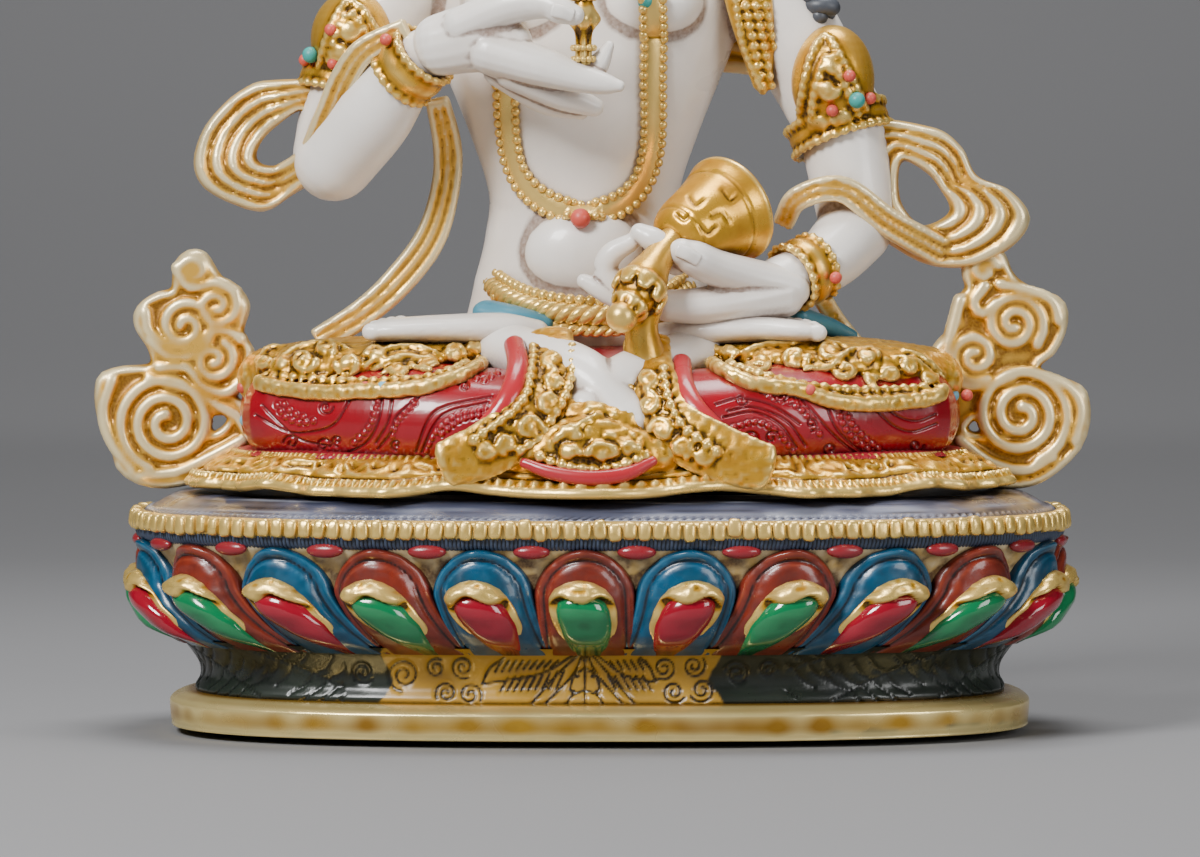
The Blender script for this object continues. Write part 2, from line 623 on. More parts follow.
def shelf(s, levels, lift=0.0, flat=PLAN_FLAT):
    """A skin round the plan from [half width, height] levels, with a lift outwards at each point."""
    levels = np.asarray(levels, float)
    s2 = s[:, None] + 0 * levels[None, :, 0]
    points = round_plan(s2, levels[None, :, 0] + 0 * s2, levels[None, :, 1] + 0 * s2, flat)
    return points + outward(s2, flat) * np.asarray(lift)[..., None]


def pedestal():
    sides = (PEDESTAL,)
    s = ways_round(0.6, 1.2)
    foot_levels = smooth_line([[FOOT_HALF - 8, 0], [FOOT_HALF - 1.1, 0.0], [FOOT_HALF - 0.35, 0.6], [FOOT_HALF - 0.1, 2.2],
                               [FOOT_HALF, 3.7], [FOOT_HALF - 0.15, 4.3], [FOOT_HALF - 0.9, 4.85], [FOOT_HALF - 2.4, 5.4],
                               [FOOT_HALF - 4.6, 5.75], [WAIST_HALF - 1, 6.2]], 4)
    foot = shelf(s, foot_levels)
    flat_points = foot.reshape(-1, 3)
    wobble = (hash_noise(flat_points, 14.0, 3) - 0.5) * 0.5 + (hash_noise(flat_points, 4.0, 4) - 0.5) * 0.16
    wobble = wobble.reshape(foot.shape[:2])
    wobble[:, :6] = 0
    foot += outward(s)[:, None] * wobble[..., None]
    pixels = seen(flat_points)
    grime = hash_noise(flat_points, 3.0, 9)
    scuffs = np.zeros(len(flat_points))
    for u0, u1, v0, v1 in ((830, 900, 730, 738), (940, 1030, 722, 736), (190, 330, 738, 752)):
        inside = np.minimum.reduce([pixels[:, 0] - u0, u1 - pixels[:, 0], (pixels[:, 1] - v0) * 2, (v1 - pixels[:, 1]) * 2])
        scuffs = np.maximum(scuffs, np.clip(inside / 6 + (grime - 0.5) * 3, 0, 1))
    scuffs = np.maximum(scuffs, np.clip((1.0 - flat_points[:, 2]) * 1.5 + (grime - 0.7) * 3, 0, 1))
    scuffs *= flat_points[:, 1] < 5
    piece("foot_ring", grid(foot, wrap_u=True), FOOT, sides, mask=scuffs, scale=14, span=0.3)
    sole = foot[:, 0]
    rings = np.stack([sole, sole * [0.5, 0.5, 1], sole * [0.02, 0.02, 1]], axis=1)
    piece("underside", grid(rings, wrap_u=True, flip=True), CREAM, sides)
    waist(sides)
    petals(sides)
    rim(sides)


def waist(sides):
    s = ways_round(0.32, 0.8)
    levels = smooth_line([[FOOT_HALF - 4.4, 5.4], [WAIST_HALF + 0.2, 6.4], [WAIST_HALF - 0.6, 8], [WAIST_HALF - 0.4, 10],
                          [WAIST_HALF + 0.8, 12], [WAIST_HALF + 2.2, 13.6], [WAIST_HALF + 4, 14.6]], 5)
    skin = shelf(s, levels)
    points = skin.reshape(-1, 3)
    pixels = seen(points)
    along = np.stack([np.repeat(np.mod(s + WHOLE / 2, WHOLE) - WHOLE / 2, len(levels)), points[:, 2]], axis=1)
    front = points[:, 1] < 0
    strokes = []
    leaf = 21.0
    for k in range(int(WHOLE / leaf)):
        base = -WHOLE / 2 + (k + 0.5) * WHOLE / int(WHOLE / leaf)
        lean = 1 if base < 0 else -1
        rib = smooth_line([[base - 9 * lean, 13.6], [base - 2 * lean, 11.4], [base + 5 * lean, 8.6], [base + 12 * lean, 6.2]], 6)
        strokes.append(rib)
        for j in range(1, 8):
            at_rib = rib[int(j * (len(rib) - 1) / 8)]
            strokes.append([at_rib, at_rib + [-1.4 * lean, -1.6], at_rib + [-4.2 * lean, -2.9 - 0.12 * j]])
            strokes.append([at_rib, at_rib + [2.6 * lean, 0.9], at_rib + [5.2 * lean, 2.6 + 0.1 * j]])
    gap = near(along, strokes)
    groove = np.clip(1 - gap / 0.42, 0, 1)
    scrolls = [spiral(363, 672, 12, 1.6, 40), spiral(737, 674, 13, 1.8, 200), spiral(768, 670, 10, 1.6, 0, -1)]
    volutes = [spiral(404, 675, 17, 1.9, 100), spiral(436, 668, 10, 1.6, -60, -1), spiral(463, 667, 12, 1.7, 60),
               spiral(446, 693, 11, 1.6, 150), spiral(470, 695, 12, 1.6, 30, -1), spiral(664, 668, 12, 1.7, 120, -1),
               spiral(694, 666, 12, 1.7, -40), spiral(674, 692, 12, 1.6, 30), spiral(702, 690, 13, 1.7, 150, -1)]
    leaves = [[[585, 654], [585, 706]], [[578, 655], [556, 676], [532, 703]], [[592, 655], [612, 678], [634, 703]],
              [[572, 656], [540, 674], [482, 684]], [[598, 656], [626, 676], [656, 682]],
              [[588, 656], [598, 676], [622, 703]], [[582, 656], [572, 676], [546, 703]],
              [[482, 684], [490, 668], [504, 658]], [[656, 682], [650, 668], [640, 658]],
              [[585, 668], [574, 676], [570, 690]], [[585, 668], [596, 676], [600, 690]],
              [[585, 690], [572, 696], [566, 706]], [[585, 690], [598, 696], [604, 706]]]
    for k in range(9):
        u = 502 + 7 * k
        leaves.append([[u, 661], [u - 7, 672 - 0.6 * k]])
        leaves.append([[u + 6, 678 - 0.8 * k], [u - 2, 692 - 0.4 * k]])
    for k in range(6):
        u = 610 + 7 * k
        leaves.append([[u, 661], [u + 6, 670]])
        leaves.append([[u - 2, 676], [u + 6, 690]])
    dots = [[u, v] for u, v in ((577, 676), (593, 676), (573, 692), (597, 692), (585, 660))]
    marked = near(pixels, scrolls + volutes + leaves)
    dotted = np.min([np.hypot(pixels[:, 0] - u, pixels[:, 1] - v) for u, v in dots], axis=0)
    ragged = (hash_noise(points, 1.6, 5) - 0.5) * 8
    left_edge = 386 + ragged + 6 * np.cos((pixels[:, 1] - 678) / 9)
    right_edge = 716 + ragged - 6 * np.cos((pixels[:, 1] - 678) / 9)
    gold = np.clip(np.minimum(pixels[:, 0] - left_edge, right_edge - pixels[:, 0]) / 2, 0, 1) * front
    centre = np.maximum(np.clip(1 - marked / 2.4, 0, 1), np.clip(1.5 - dotted / 2.4, 0, 1)) * front
    near_side = np.clip(1 - marked / 2.2, 0, 1) * front * (np.abs(pixels[:, 0] - 560) < 230)
    clear = (pixels[:, 0] < 345) | (pixels[:, 0] > 785) | ~front
    depth = np.where(gold > 0.3, centre * 0.5, np.maximum(groove * clear * 0.42, near_side * 0.4))
    points = points - np.repeat(outward(s), len(levels), axis=0) * depth[:, None]
    kept = np.clip(0.56 - depth * 1.1, 0, 1)
    kept += (hash_noise(points * [0.3, 0.3, 1.2], 1.1, 6) - 0.5) * 0.16
    shape = (points, grid(skin, wrap_u=True)[1], NO_TRIS)
    piece("waist", shape, WAIST, sides, mask=gold, cav=np.clip(kept, 0, 1))


PETAL_MIDDLE = [[13.4, 67.6], [15, 70.4], [17, 72.6], [20, 74.6], [23, 75.3], [26, 75.2], [28.5, 75.2], [30.6, 76.2]]
PETAL_EDGE = [[13.4, 67.2], [15, 69.2], [17, 70.6], [20, 71.8], [23, 72.6], [26, 73.0], [28.5, 73.6], [30.6, 75.4]]
PETAL_WIDE, ARCH_Z = 8.1, 22.4


def table(rows, z):
    rows = np.asarray(rows, float)
    return np.interp(z, rows[:, 0], rows[:, 1])


def petal_lean(s, z):
    """How far a petal's foot sweeps towards the front's middle."""
    f = np.abs(np.mod(s + WHOLE / 2, WHOLE) - WHOLE / 2) / (WHOLE / 2)
    hand = -np.sign(np.mod(s + WHOLE / 2, WHOLE) - WHOLE / 2)
    return hand * 10.0 * np.sin(np.pi * f) ** 0.9 * (np.clip(24 - z, 0, 11) / 11) ** 1.35


def petals(sides):
    heads = {"rust_petals": [], "blue_petals": []}
    shades = {"rust_petals": [], "blue_petals": []}
    gems = {"green_gems": [], "red_gems": []}
    caps, lozenges = [], []
    rng = np.random.default_rng(7)
    for k in range(PETALS):
        s0 = PETAL_SHIFT + k * WHOLE / PETALS
        faces_viewer = k <= 7 or k >= PETALS - 7
        columns, rows = (38, 44) if faces_viewer else (22, 26)
        a = np.sin(np.linspace(-np.pi / 2, np.pi / 2, columns))
        t = 1 - (1 - np.linspace(0, 1, rows)) ** 1.5
        z = (13.5 + 17.05 * t)[None]
        r_top = np.clip((z - ARCH_Z) / 8.15, 0, 0.9999)
        wide = PETAL_WIDE * np.sqrt(1 - r_top**2)
        x = a[:, None] * wide
        rim_gap = PETAL_WIDE - np.hypot(x, r_top * PETAL_WIDE)
        s = s0 + x + petal_lean(s0, z)
        crown = 1 - np.abs(a[:, None]) ** 2.2
        half = table(PETAL_EDGE, z) + (table(PETAL_MIDDLE, z) - table(PETAL_EDGE, z)) * crown
        groove = np.clip(1 - np.abs(rim_gap - 1.75) / 0.34, 0, 1)
        inner = np.clip((rim_gap - 1.9) / 1.2, 0, 1)
        edge_down = 1 - np.clip(rim_gap / 0.55, 0, 1)
        points = round_plan(s, half, z + 0 * s)
        flat_points = points.reshape(-1, 3)
        rough = (hash_noise(flat_points, 0.9, 11 + k).reshape(s.shape) - 0.5) * 0.16
        lift = 0.35 * inner - 0.5 * groove - 1.3 * edge_down**2 + rough
        points = points + outward(s) * lift[..., None]
        name = "rust_petals" if k % 2 == 0 else "blue_petals"
        heads[name].append(grid(points))
        tone = 0.56 - 0.5 * groove - 0.3 * edge_down + rough * 0.8 + 0.16 * np.clip(1 - np.abs(rim_gap - 2.5) / 0.3, 0, 1)
        tone += 0.2 * np.clip(1 - np.abs(rim_gap - 0.7) / 0.3, 0, 1)
        shades[name].append(tone.ravel())
        gems["green_gems" if k % 2 == 0 else "red_gems"].append(gem(s0, 1.0, faces_viewer))
        caps.append(gem_cap(s0, faces_viewer, k))
        between = s0 + WHOLE / PETALS / 2
        size = [2.9 + 0.3 * rng.random(), 1.05 + 0.15 * rng.random(), 1.1]
        at_point = round_plan(np.array([between]), 74.6, 30.1)
        lozenges.append(placed(ball((0, 0, 0), 1.0, 16, 8), at_point, outward(np.array([between])), np.array([size]),
                               np.cross(UP, outward(np.array([between])))))
    s = ways_round(1.0, 1.6)
    ground = shelf(s, smooth_line([[67.0, 13.4], [69.4, 17], [70.8, 21], [71.8, 25], [73.2, 28.4], [74.2, 30.2], [74.6, 31]], 4))
    wobble = (hash_noise(ground.reshape(-1, 3), 1.2, 2).reshape(ground.shape[:2]) - 0.5) * 0.22
    ground = ground + outward(s)[:, None] * wobble[..., None]
    piece("petal_ground", grid(ground, wrap_u=True), CREAM, sides)
    piece("rust_petals", joined(heads["rust_petals"]), RUST, sides, cav=np.concatenate(shades["rust_petals"]))
    piece("blue_petals", joined(heads["blue_petals"]), BLUE, sides, cav=np.concatenate(shades["blue_petals"]))
    piece("green_gems", joined(gems["green_gems"]), EMERALD, sides, scale=6)
    piece("red_gems", joined(gems["red_gems"]), RUBY, sides, scale=6)
    piece("gem_caps", joined(caps), GOLD, sides, scale=6)
    piece("lozenges", joined(lozenges), OXBLOOD, sides)


GEM_WIDTH = [[13.4, 2.7], [15, 3.3], [17, 3.9], [19, 4.2], [21, 4.2], [22.4, 3.7], [23.3, 2.6], [23.8, 0.3]]
CAP_WIDTH = [[13.4, 3.2], [15, 3.8], [17, 4.5], [19, 5.0], [21, 5.2], [23, 4.9], [24.4, 3.9], [25.4, 2.2], [25.9, 0.3]]


def gem_sweep(s0, z):
    return petal_lean(s0, z) * 1.12 - np.sign(petal_lean(s0, 13.5)) * 0.6 * np.clip((z - 18) / 6, 0, 1)


def tail_thin(s0, z):
    """A swept gem narrows to a tail at its foot."""
    sweep = np.clip(abs(float(petal_lean(s0, np.array(13.5)))) / 9, 0, 1)
    return 1 - sweep * 0.62 * np.clip((18.5 - z) / 5, 0, 1)


def gem(s0, swell, fine):
    columns, rows = (22, 26) if fine else (12, 16)
    a = np.sin(np.linspace(-np.pi / 2, np.pi / 2, columns))[:, None]
    z = (13.5 + 10.3 * (1 - (1 - np.linspace(0, 1, rows)) ** 1.5))[None]
    wide = table(GEM_WIDTH, z) * tail_thin(s0, z)
    s = s0 + a * wide + gem_sweep(s0, z)
    dome = np.sqrt(np.clip(1 - np.abs(a) ** 2.6, 0, 1))
    top = np.sqrt(np.clip(1 - np.clip((z - 20.5) / 3.3, 0, 1) ** 2, 0, 1))
    foot = np.clip((z - 12.8) / 3, 0.4, 1)
    half = table(PETAL_MIDDLE, z) - 0.6 + 2.9 * dome * top * foot * swell
    return grid(round_plan(s, half, z + 0 * s))


def gem_cap(s0, fine, seed):
    columns, rows = (26, 34) if fine else (14, 18)
    a = np.sin(np.linspace(-np.pi / 2, np.pi / 2, columns))[:, None]
    z = (13.5 + 12.4 * (1 - (1 - np.linspace(0, 1, rows)) ** 1.5))[None]
    wide = table(CAP_WIDTH, z) * tail_thin(s0, z)
    s = s0 + a * wide + gem_sweep(s0, z)
    dome = np.sqrt(np.clip(1 - np.abs(a) ** 3, 0, 1))
    top = np.sqrt(np.clip(1 - np.clip((z - 23.3) / 2.6, 0, 1) ** 2, 0, 1))
    brow = np.clip((z - 22.2 + 0.7 * np.cos(a * 5 + seed)) / 0.7, 0, 1)
    half = table(PETAL_MIDDLE, z) - 0.5 + (0.9 + 1.9 * brow) * dome * top
    points = round_plan(s, half, z + 0 * s)
    rough = (hash_noise(points.reshape(-1, 3), 0.8, 40 + seed).reshape(s.shape) - 0.5) * 0.5 * brow * dome
    return grid(points + outward(s) * rough[..., None])


def rim(sides):
    ribs = int(WHOLE / 0.62)
    s = np.arange(ribs * 4) * WHOLE / (ribs * 4)
    levels = np.array([[74.2, 30.3], [74.7, 30.8], [74.9, 31.4], [75.0, 32.2]])
    rib = 0.32 * np.tile([0, 0.7, 1, 0.7], ribs)[:, None] * np.array([0.6, 1, 1, 0.6])
    uneven = hash_noise(np.stack([s, 0 * s, 0 * s], axis=1), 1.4, 8)[:, None]
    piece("stamens", grid(shelf(s, levels, rib * (0.6 + 0.7 * uneven)), wrap_u=True), INK, sides, scale=2, span=0.1)
    s = ways_round(1.0, 1.6)
    rail = smooth_line([[74.4, 31.6], [75.0, 32.0], [75.1, 33.4], [74.9, 34.4], [73.8, 34.9]], 3)
    piece("rim_rail", grid(shelf(s, rail), wrap_u=True), GOLD, sides)
    count = int(round(WHOLE * 1.035 / 2.33))
    s = np.arange(count) * WHOLE / count
    rng = np.random.default_rng(3)
    a = np.linspace(-1, 1, 7)
    square = ball((0, 0, 0), 1.0, 14, 9)
    p = square[0]
    boxy = np.sign(p) * np.abs(p) ** 0.55
    square = (boxy / np.abs(boxy).max(), square[1], square[2])
    centres = round_plan(s, 75.1, 33.45 + 0.12 * rng.standard_normal(count))
    sizes = np.stack([1.02 + 0.07 * rng.standard_normal(count), 1.5 + 0.06 * rng.standard_normal(count),
                      1.12 + 0.06 * rng.standard_normal(count)], axis=1)
    tilt = np.cross(UP, outward(s)) + UP * 0.06 * rng.standard_normal((count, 1))
    beads_shape = placed(square, centres, outward(s) + UP * 0.12, sizes, tilt)
    rough = hash_noise(beads_shape[0], 0.9, 21) - 0.5
    lumpy = beads_shape[0] + normals_of(*beads_shape) * (rough * 0.22)[:, None]
    piece("rim_beads", (lumpy, *beads_shape[1:]), GOLD, sides, scale=4, span=0.3)
    s = ways_round(0.4, 0.9)
    levels = smooth_line([[73.9, 34.6], [73.4, 35.1], [72.6, 35.3], [71.6, 35.9], [69.6, 37.0], [67.2, 37.7], [63, 37.8], [58, 37.8], [52, 37.8]], 5)
    skin = shelf(s, levels)
    flat_points = skin.reshape(-1, 3)
    depth = np.repeat(levels[None, :, 0], len(s), axis=0)
    along = np.repeat(s[:, None], len(levels), axis=1)
    dash = np.clip(1 - np.abs(depth - 72.9) / 0.8, 0, 1) * np.clip(np.cos((along + (depth - 73) * 0.9) * 2 * np.pi / 1.4) * 1.6, -1, 1)
    streaks = hash_noise(np.stack([along.ravel() / 9, depth.ravel() / 0.5, 0 * depth.ravel()], axis=1), 1.0, 5)
    skin[..., 2] += 0.22 * np.clip(dash, 0, 1) - 0.25 * np.clip(-dash, 0, 1) + (streaks.reshape(dash.shape) - 0.5) * 0.1
    tone = 0.5 + 0.35 * dash + (streaks.reshape(dash.shape) - 0.5) * 0.75
    patchy = hash_noise(flat_points, 9.0, 12) + hash_noise(flat_points, 2.0, 13) * 0.5
    dusty = np.clip((np.abs(flat_points[:, 0]) - 46) / 22, 0, 1) * np.clip(patchy * 1.6 - 0.7, 0, 1)
    piece("moon_disc", grid(skin, wrap_u=True), DISC, sides, mask=dusty, cav=np.clip(tone.ravel(), 0, 1))


# Floor, light and camera.
def studio():
    sweep = [[-2500, 0], [-600, 0], [700, 0], [1000, 25], [1250, 130], [1400, 330], [1450, 700], [1450, 2600]]
    profile = smooth_line(sweep, 8)
    rows = np.array([[[x, y, z] for y, z in profile] for x in (-3500, 3500)], float)
    mesh = to_mesh("floor", grid(rows))
    material = bpy.data.materials.new("studio floor")
    material.use_nodes = True
    surface = material.node_tree.nodes["Principled BSDF"]
    surface.inputs["Base Color"].default_value = (0.2, 0.2, 0.206, 1)
    surface.inputs["Roughness"].default_value = 0.8
    mesh.polygons.foreach_set("use_smooth", np.ones(len(mesh.polygons), bool))
    mesh.materials.append(material)
    floor = bpy.data.objects.new("floor", mesh)
    bpy.context.scene.collection.objects.link(floor)
    world = bpy.data.worlds.new("studio")
    world.use_nodes = True
    world.node_tree.nodes["Background"].inputs["Color"].default_value = (0.5, 0.5, 0.51, 1)
    world.node_tree.nodes["Background"].inputs["Strength"].default_value = 0.12
    bpy.context.scene.world = world
    for name, place, target, size, power in (
        ("key", (-420, -560, 560), (0, 0, 80), 260, 10.5),
        ("fill", (640, -560, 300), (0, 0, 70), 380, 3.2),
        ("top", (40, 60, 700), (0, 0, 60), 340, 5.0),
        ("back", (0, 700, 900), (0, 1450, 700), 900, 6.0),
    ):
        lamp = bpy.data.lights.new(name, "AREA")
        lamp.size = size * MM
        lamp.energy = power
        thing = bpy.data.objects.new(name, lamp)
        thing.location = Vector(place) * MM
        thing.rotation_mode = "QUATERNION"
        thing.rotation_quaternion = (Vector(target) - Vector(place)).to_track_quat("-Z", "Y")
        bpy.context.scene.collection.objects.link(thing)


def camera():
    data = bpy.data.cameras.new("camera")
    data.sensor_width = 36.0
    data.lens = FOCAL * 36.0 / WIDE
    data.clip_start, data.clip_end = 0.01, 20.0
    thing = bpy.data.objects.new("camera", data)
    thing.location = Vector(EYE) * MM
    thing.rotation_mode = "QUATERNION"
    thing.rotation_quaternion = Vector(AHEAD).to_track_quat("-Z", "Y")
    bpy.context.scene.collection.objects.link(thing)
    bpy.context.scene.camera = thing


# Relief made of small shapes.
def pixels_of(points):
    return seen(np.array([p[:3] for p in points], float))


def ridge(ground, pixels, radius, lift=0.0, pitch=3.0, taper=False, flat=1.0):
    """A rounded ridge along pixels, laid on the ground."""
    points, normals = ground.line(pixels, lift, pitch=pitch)
    if len(points) < 3:
        return []
    r = np.full(len(points), float(radius))
    if taper:
        r *= np.clip(np.minimum(np.arange(len(r)), np.arange(len(r))[::-1]) / (len(r) * 0.3) + 0.35, 0, 1)
    return [tube(points, r, sides=7, flat=flat)]


def bead_row(ground, pixels, pitch, radius, lift=0.0, squash=0.85):
    points, normals = ground.line(pixels, lift, pitch=1.5)
    if len(points) < 3:
        return []
    both = np.concatenate([points, normals], axis=1)
    rows, _ = even(both, pitch)
    return [beads(rows[:, :3], radius, unit(rows[:, 3:6]), squash)]


def volute(ground, u, v, size, radius=0.5, turns=1.5, start=0.0, hand=1, lift=0.15, squash=0.8, eye=True):
    made = ridge(ground, spiral(u, v, size, turns, start, hand, squash=squash), radius, lift, pitch=2.0)
    middle, normal = ground.hit(u, v, lift)
    if eye and middle is not None:
        made.append(beads(middle[None], radius * 1.5, normal[None], 0.8))
    return made


def band(points, normals, width, rim=0.75, pitch=1.5, centre=0.7, lift=0.2):
    """A jewelled band: a smooth middle between two rows of beads."""
    tangent = unit(np.gradient(points, axis=0))
    side = unit(np.cross(tangent, normals))
    middle = [[*(p + n * lift), width * 0.5, centre] for p, n in zip(points, normals)]
    made = [bar_along(middle, normals, sides=12)]
    for hand in (-1, 1):
        rows, _ = even(np.concatenate([points + side * hand * width * 0.42 + normals * (lift + centre * 0.6), normals], axis=1), pitch)
        made.append(beads(rows[:, :3], rim, unit(rows[:, 3:6]), 0.9))
    return made


def bar_along(stations, normals, sides=12):
    """A bar whose flat side keeps to a normal given at each station."""
    rows = np.array(stations, float)
    middle, size = rows[:, :3], rows[:, 3:]
    tangent = unit(np.gradient(middle, axis=0))
    side = unit(np.cross(tangent, normals))
    out = np.cross(side, tangent)
    angle = np.arange(sides) * 2 * np.pi / sides
    c, s = np.cos(angle)[None, :, None], np.sin(angle)[None, :, None]
    body = middle[:, None] + side[:, None] * c * size[:, None, None, 0] + out[:, None] * s * size[:, None, None, 1]
    start = middle[:1, None] + 0 * body[:1]
    finish = middle[-1:, None] + 0 * body[:1]
    return grid(np.concatenate([start, body, finish]), wrap_v=True)


def rope(line, radius, pitch, strands=2, face=UP, sides=8):
    """Strands twisted about a line."""
    points, tangent = even(np.asarray(line, float), 0.5)
    side = unit(np.cross(tangent, face))
    out = np.cross(side, tangent)
    turn = np.arange(len(points)) * 0.5 / pitch * 2 * np.pi
    made = []
    for k in range(strands):
        a = turn + k * 2 * np.pi / strands
        path = points + (side * np.cos(a)[:, None] + out * np.sin(a)[:, None]) * radius * 0.52
        made.append(tube(path, radius * 0.56, sides=sides))
    return made


def ring_of(centre, axis, radii, count=48, hint=UP):
    """Points of an ellipse about an axis, and their outward normals."""
    u, v, _ = basis(axis, hint)
    a = np.arange(count) * 2 * np.pi / count
    radii = np.broadcast_to(radii, 2)
    points = centre + u * (radii[0] * np.cos(a))[:, None] + v * (radii[1] * np.sin(a))[:, None]
    return points, unit(u * (np.cos(a) / radii[0])[:, None] + v * (np.sin(a) / radii[1])[:, None])


def cuff(start, end, radius, beads_radius=0.75, pitch=1.5, swell=1.0):
    """A bracelet between two points of a limb: a smooth hoop with a row of beads at each edge."""
    start, end = np.asarray(start, float), np.asarray(end, float)
    axis = unit(end - start)
    length = np.linalg.norm(end - start)
    made = [turned([[radius - 1.2, 0], [radius + 0.1, 0.0], [radius + 0.5 * swell, length * 0.25], [radius + 0.8 * swell, length * 0.5],
                    [radius + 0.5 * swell, length * 0.75], [radius + 0.1, length], [radius - 1.2, length]], start, axis, 48, 3)]
    for middle in (start, end):
        count = int(2 * np.pi * radius / pitch)
        points, normals = ring_of(middle, axis, radius + 0.35, count)
        made.append(beads(points, beads_radius, normals, 0.95))
    return made


def refined(shape, chosen, parts, rounds=4):
    """Chosen quads cut into parts by parts smaller ones, then relaxed."""
    points, quads, _ = shape
    picked = quads[chosen]
    t = np.linspace(0, 1, parts + 1)
    a, b = np.meshgrid(t, t, indexing="ij")
    weights = np.stack([(1 - a) * (1 - b), a * (1 - b), a * b, (1 - a) * b], axis=-1).reshape(-1, 4)
    fresh = np.einsum("gk,nkc->ngc", weights, points[picked])
    index = np.arange((parts + 1) ** 2).reshape(parts + 1, parts + 1)
    cell = np.stack([index[:-1, :-1], index[1:, :-1], index[1:, 1:], index[:-1, 1:]], axis=-1).reshape(-1, 4)
    small = (cell[None] + (np.arange(len(picked)) * len(weights))[:, None, None]).reshape(-1, 4)
    every = np.concatenate([points, fresh.reshape(-1, 3)])
    _, first, inverse = np.unique(np.round(every * 2e3).astype(np.int64), axis=0, return_index=True, return_inverse=True)
    inverse = inverse.ravel()
    merged = (every[first], inverse[np.concatenate([quads[~chosen], small + len(points)])], NO_TRIS)
    return relaxed(merged, rounds)


def mirror(stations):
    return [[-s[0], *s[1:]] for s in stations]


# Sections of the trunk: [middle x, middle y, height, half width, half depth].
TRUNK = [
    [-1, 8, 56, 20, 15], [-1.5, 8, 66, 20.5, 15], [-2.2, 7.4, 73, 18.4, 13.4], [MIDLINE, 7, 79, 16.2, 12],
    [MIDLINE, 6.6, 86, 15.6, 11.6], [MIDLINE, 6.1, 97, 19.2, 12.8], [MIDLINE, 6, 110, 24.4, 13.6],
    [MIDLINE, 6, 121, 27, 12.6], [MIDLINE, 6.4, 129, 25.4, 10], [MIDLINE, 7, 133.4, 16, 8.4],
    [MIDLINE, 6.4, 137.4, 8.4, 7.4], [MIDLINE, 4.8, 149, 7.4, 7],
]
KNEE_X, LEG_Z = 47.6, 50.2
THIGH = [[12, 14, LEG_Z + 1, 14, 10], [30, 7, LEG_Z, 14, 10], [KNEE_X, -4, LEG_Z, 12.6, 10]]
SHIN = [[KNEE_X - 0.5, -9, LEG_Z, 12, 9.8], [30, -20, LEG_Z - 0.6, 11, 9.6], [12, -26, LEG_Z - 1.2, 10, 8.8]]
PAD = [[53, -3, 55.8, 8, 5.2], [42, -7, 57.6, 14.5, 5], [29, -9, 59.2, 15, 3.6], [17, -8, 61.2, 9, 2.2]]
UPPER_LEFT = [[-27, 6.4, 125.6, 8.6], [-33.4, 5, 116, 8], [-39.2, 2.4, 105.8, 7.6], [-41.6, 1, 99, 7], [-43.2, -1, 91.6, 6.6]]
FORE_LEFT = [[-43, -2, 91, 6.6], [-36.6, -7, 98.4, 6.6], [-31.6, -10.8, 104.6, 5.2], [-28.4, -13, 107.6, 4.4],
             [-24.6, -15.6, 109.6, 4.2, 3.8]]
UPPER_RIGHT = [[22.4, 6.4, 125.6, 8.6], [29.4, 5, 115, 8], [38.4, 2.6, 98.6, 7.4], [40, 1.6, 92.4, 7], [41.6, 0, 81, 6.2]]
FORE_RIGHT = [[41.4, -1, 80, 6], [37.6, -6, 76, 5.4], [34.2, -9, 73.8, 4.9], [31, -11.6, 72.4, 4.4], [27.6, -14, 71.2, 4.2, 4]]


def by_pixels(rows, sides=16, cap=4, steps=6, face=UP):
    """A bar through [u, v, y, half width, half thickness] rows."""
    return bar([[*at(u, v, y), *size] for u, v, y, *size in rows], sides=sides, steps=steps, cap=cap, face=face)


def raised_hand():
    return [
        by_pixels([[440, 45, -16, 5.0, 4.4], [480, 38, -18.5, 5.6, 4], [510, 52, -20, 4.8, 3.2]], face=FRONT),
        by_pixels([[462, 26, -19, 3.2], [510, 6, -22, 3], [545, 4, -24, 2.4], [560, 10, -25, 2.2], [574, 15, -25, 1.7]]),
        by_pixels([[490, 52, -20, 3.6], [540, 66, -22, 3.2], [580, 78, -23, 2.4], [606, 84, -23.6, 1.7], [619, 86, -24, 1]]),
        by_pixels([[590, 76, -21.5, 1.9], [600, 62, -21.5, 1.7], [609, 46, -21.5, 0.9]]),
        by_pixels([[560, 66, -22, 2.6, 1.4], [590, 70, -21.6, 2.0, 1.2]]),
        by_pixels([[512, 72, -19, 2.8], [560, 94, -18, 2.5], [594, 107, -16.5, 1.6]]),
        by_pixels([[500, 70, -17, 2.8], [545, 100, -15.5, 2.3], [580, 110, -15, 1.6]]),
    ]


def lowered_hand():
    return [
        by_pixels([[790, 288, -14, 3.4], [750, 278, -17.5, 3.2], [716, 268, -21, 3], [694, 258, -23.4, 2.9], [682, 252, -24.4, 2.2]]),
        by_pixels([[780, 292, -14, 4.2, 4.4], [740, 300, -17, 4.2, 3.6], [700, 306, -19, 3.8, 3], [668, 306, -20, 3, 2.6]], face=UP),
        by_pixels([[676, 262, -21, 2.2], [656, 242, -23, 2.1], [640, 233, -22.5, 1.6]]),
        by_pixels([[640, 300, -20, 2.4], [618, 288, -21, 2.1], [606, 270, -21, 2], [612, 254, -21.5, 1.9], [630, 243, -22, 1.5]]),
        by_pixels([[630, 302, -20.6, 2.1], [604, 291, -21, 1.8], [584, 281, -20.8, 1.2]]),
    ]


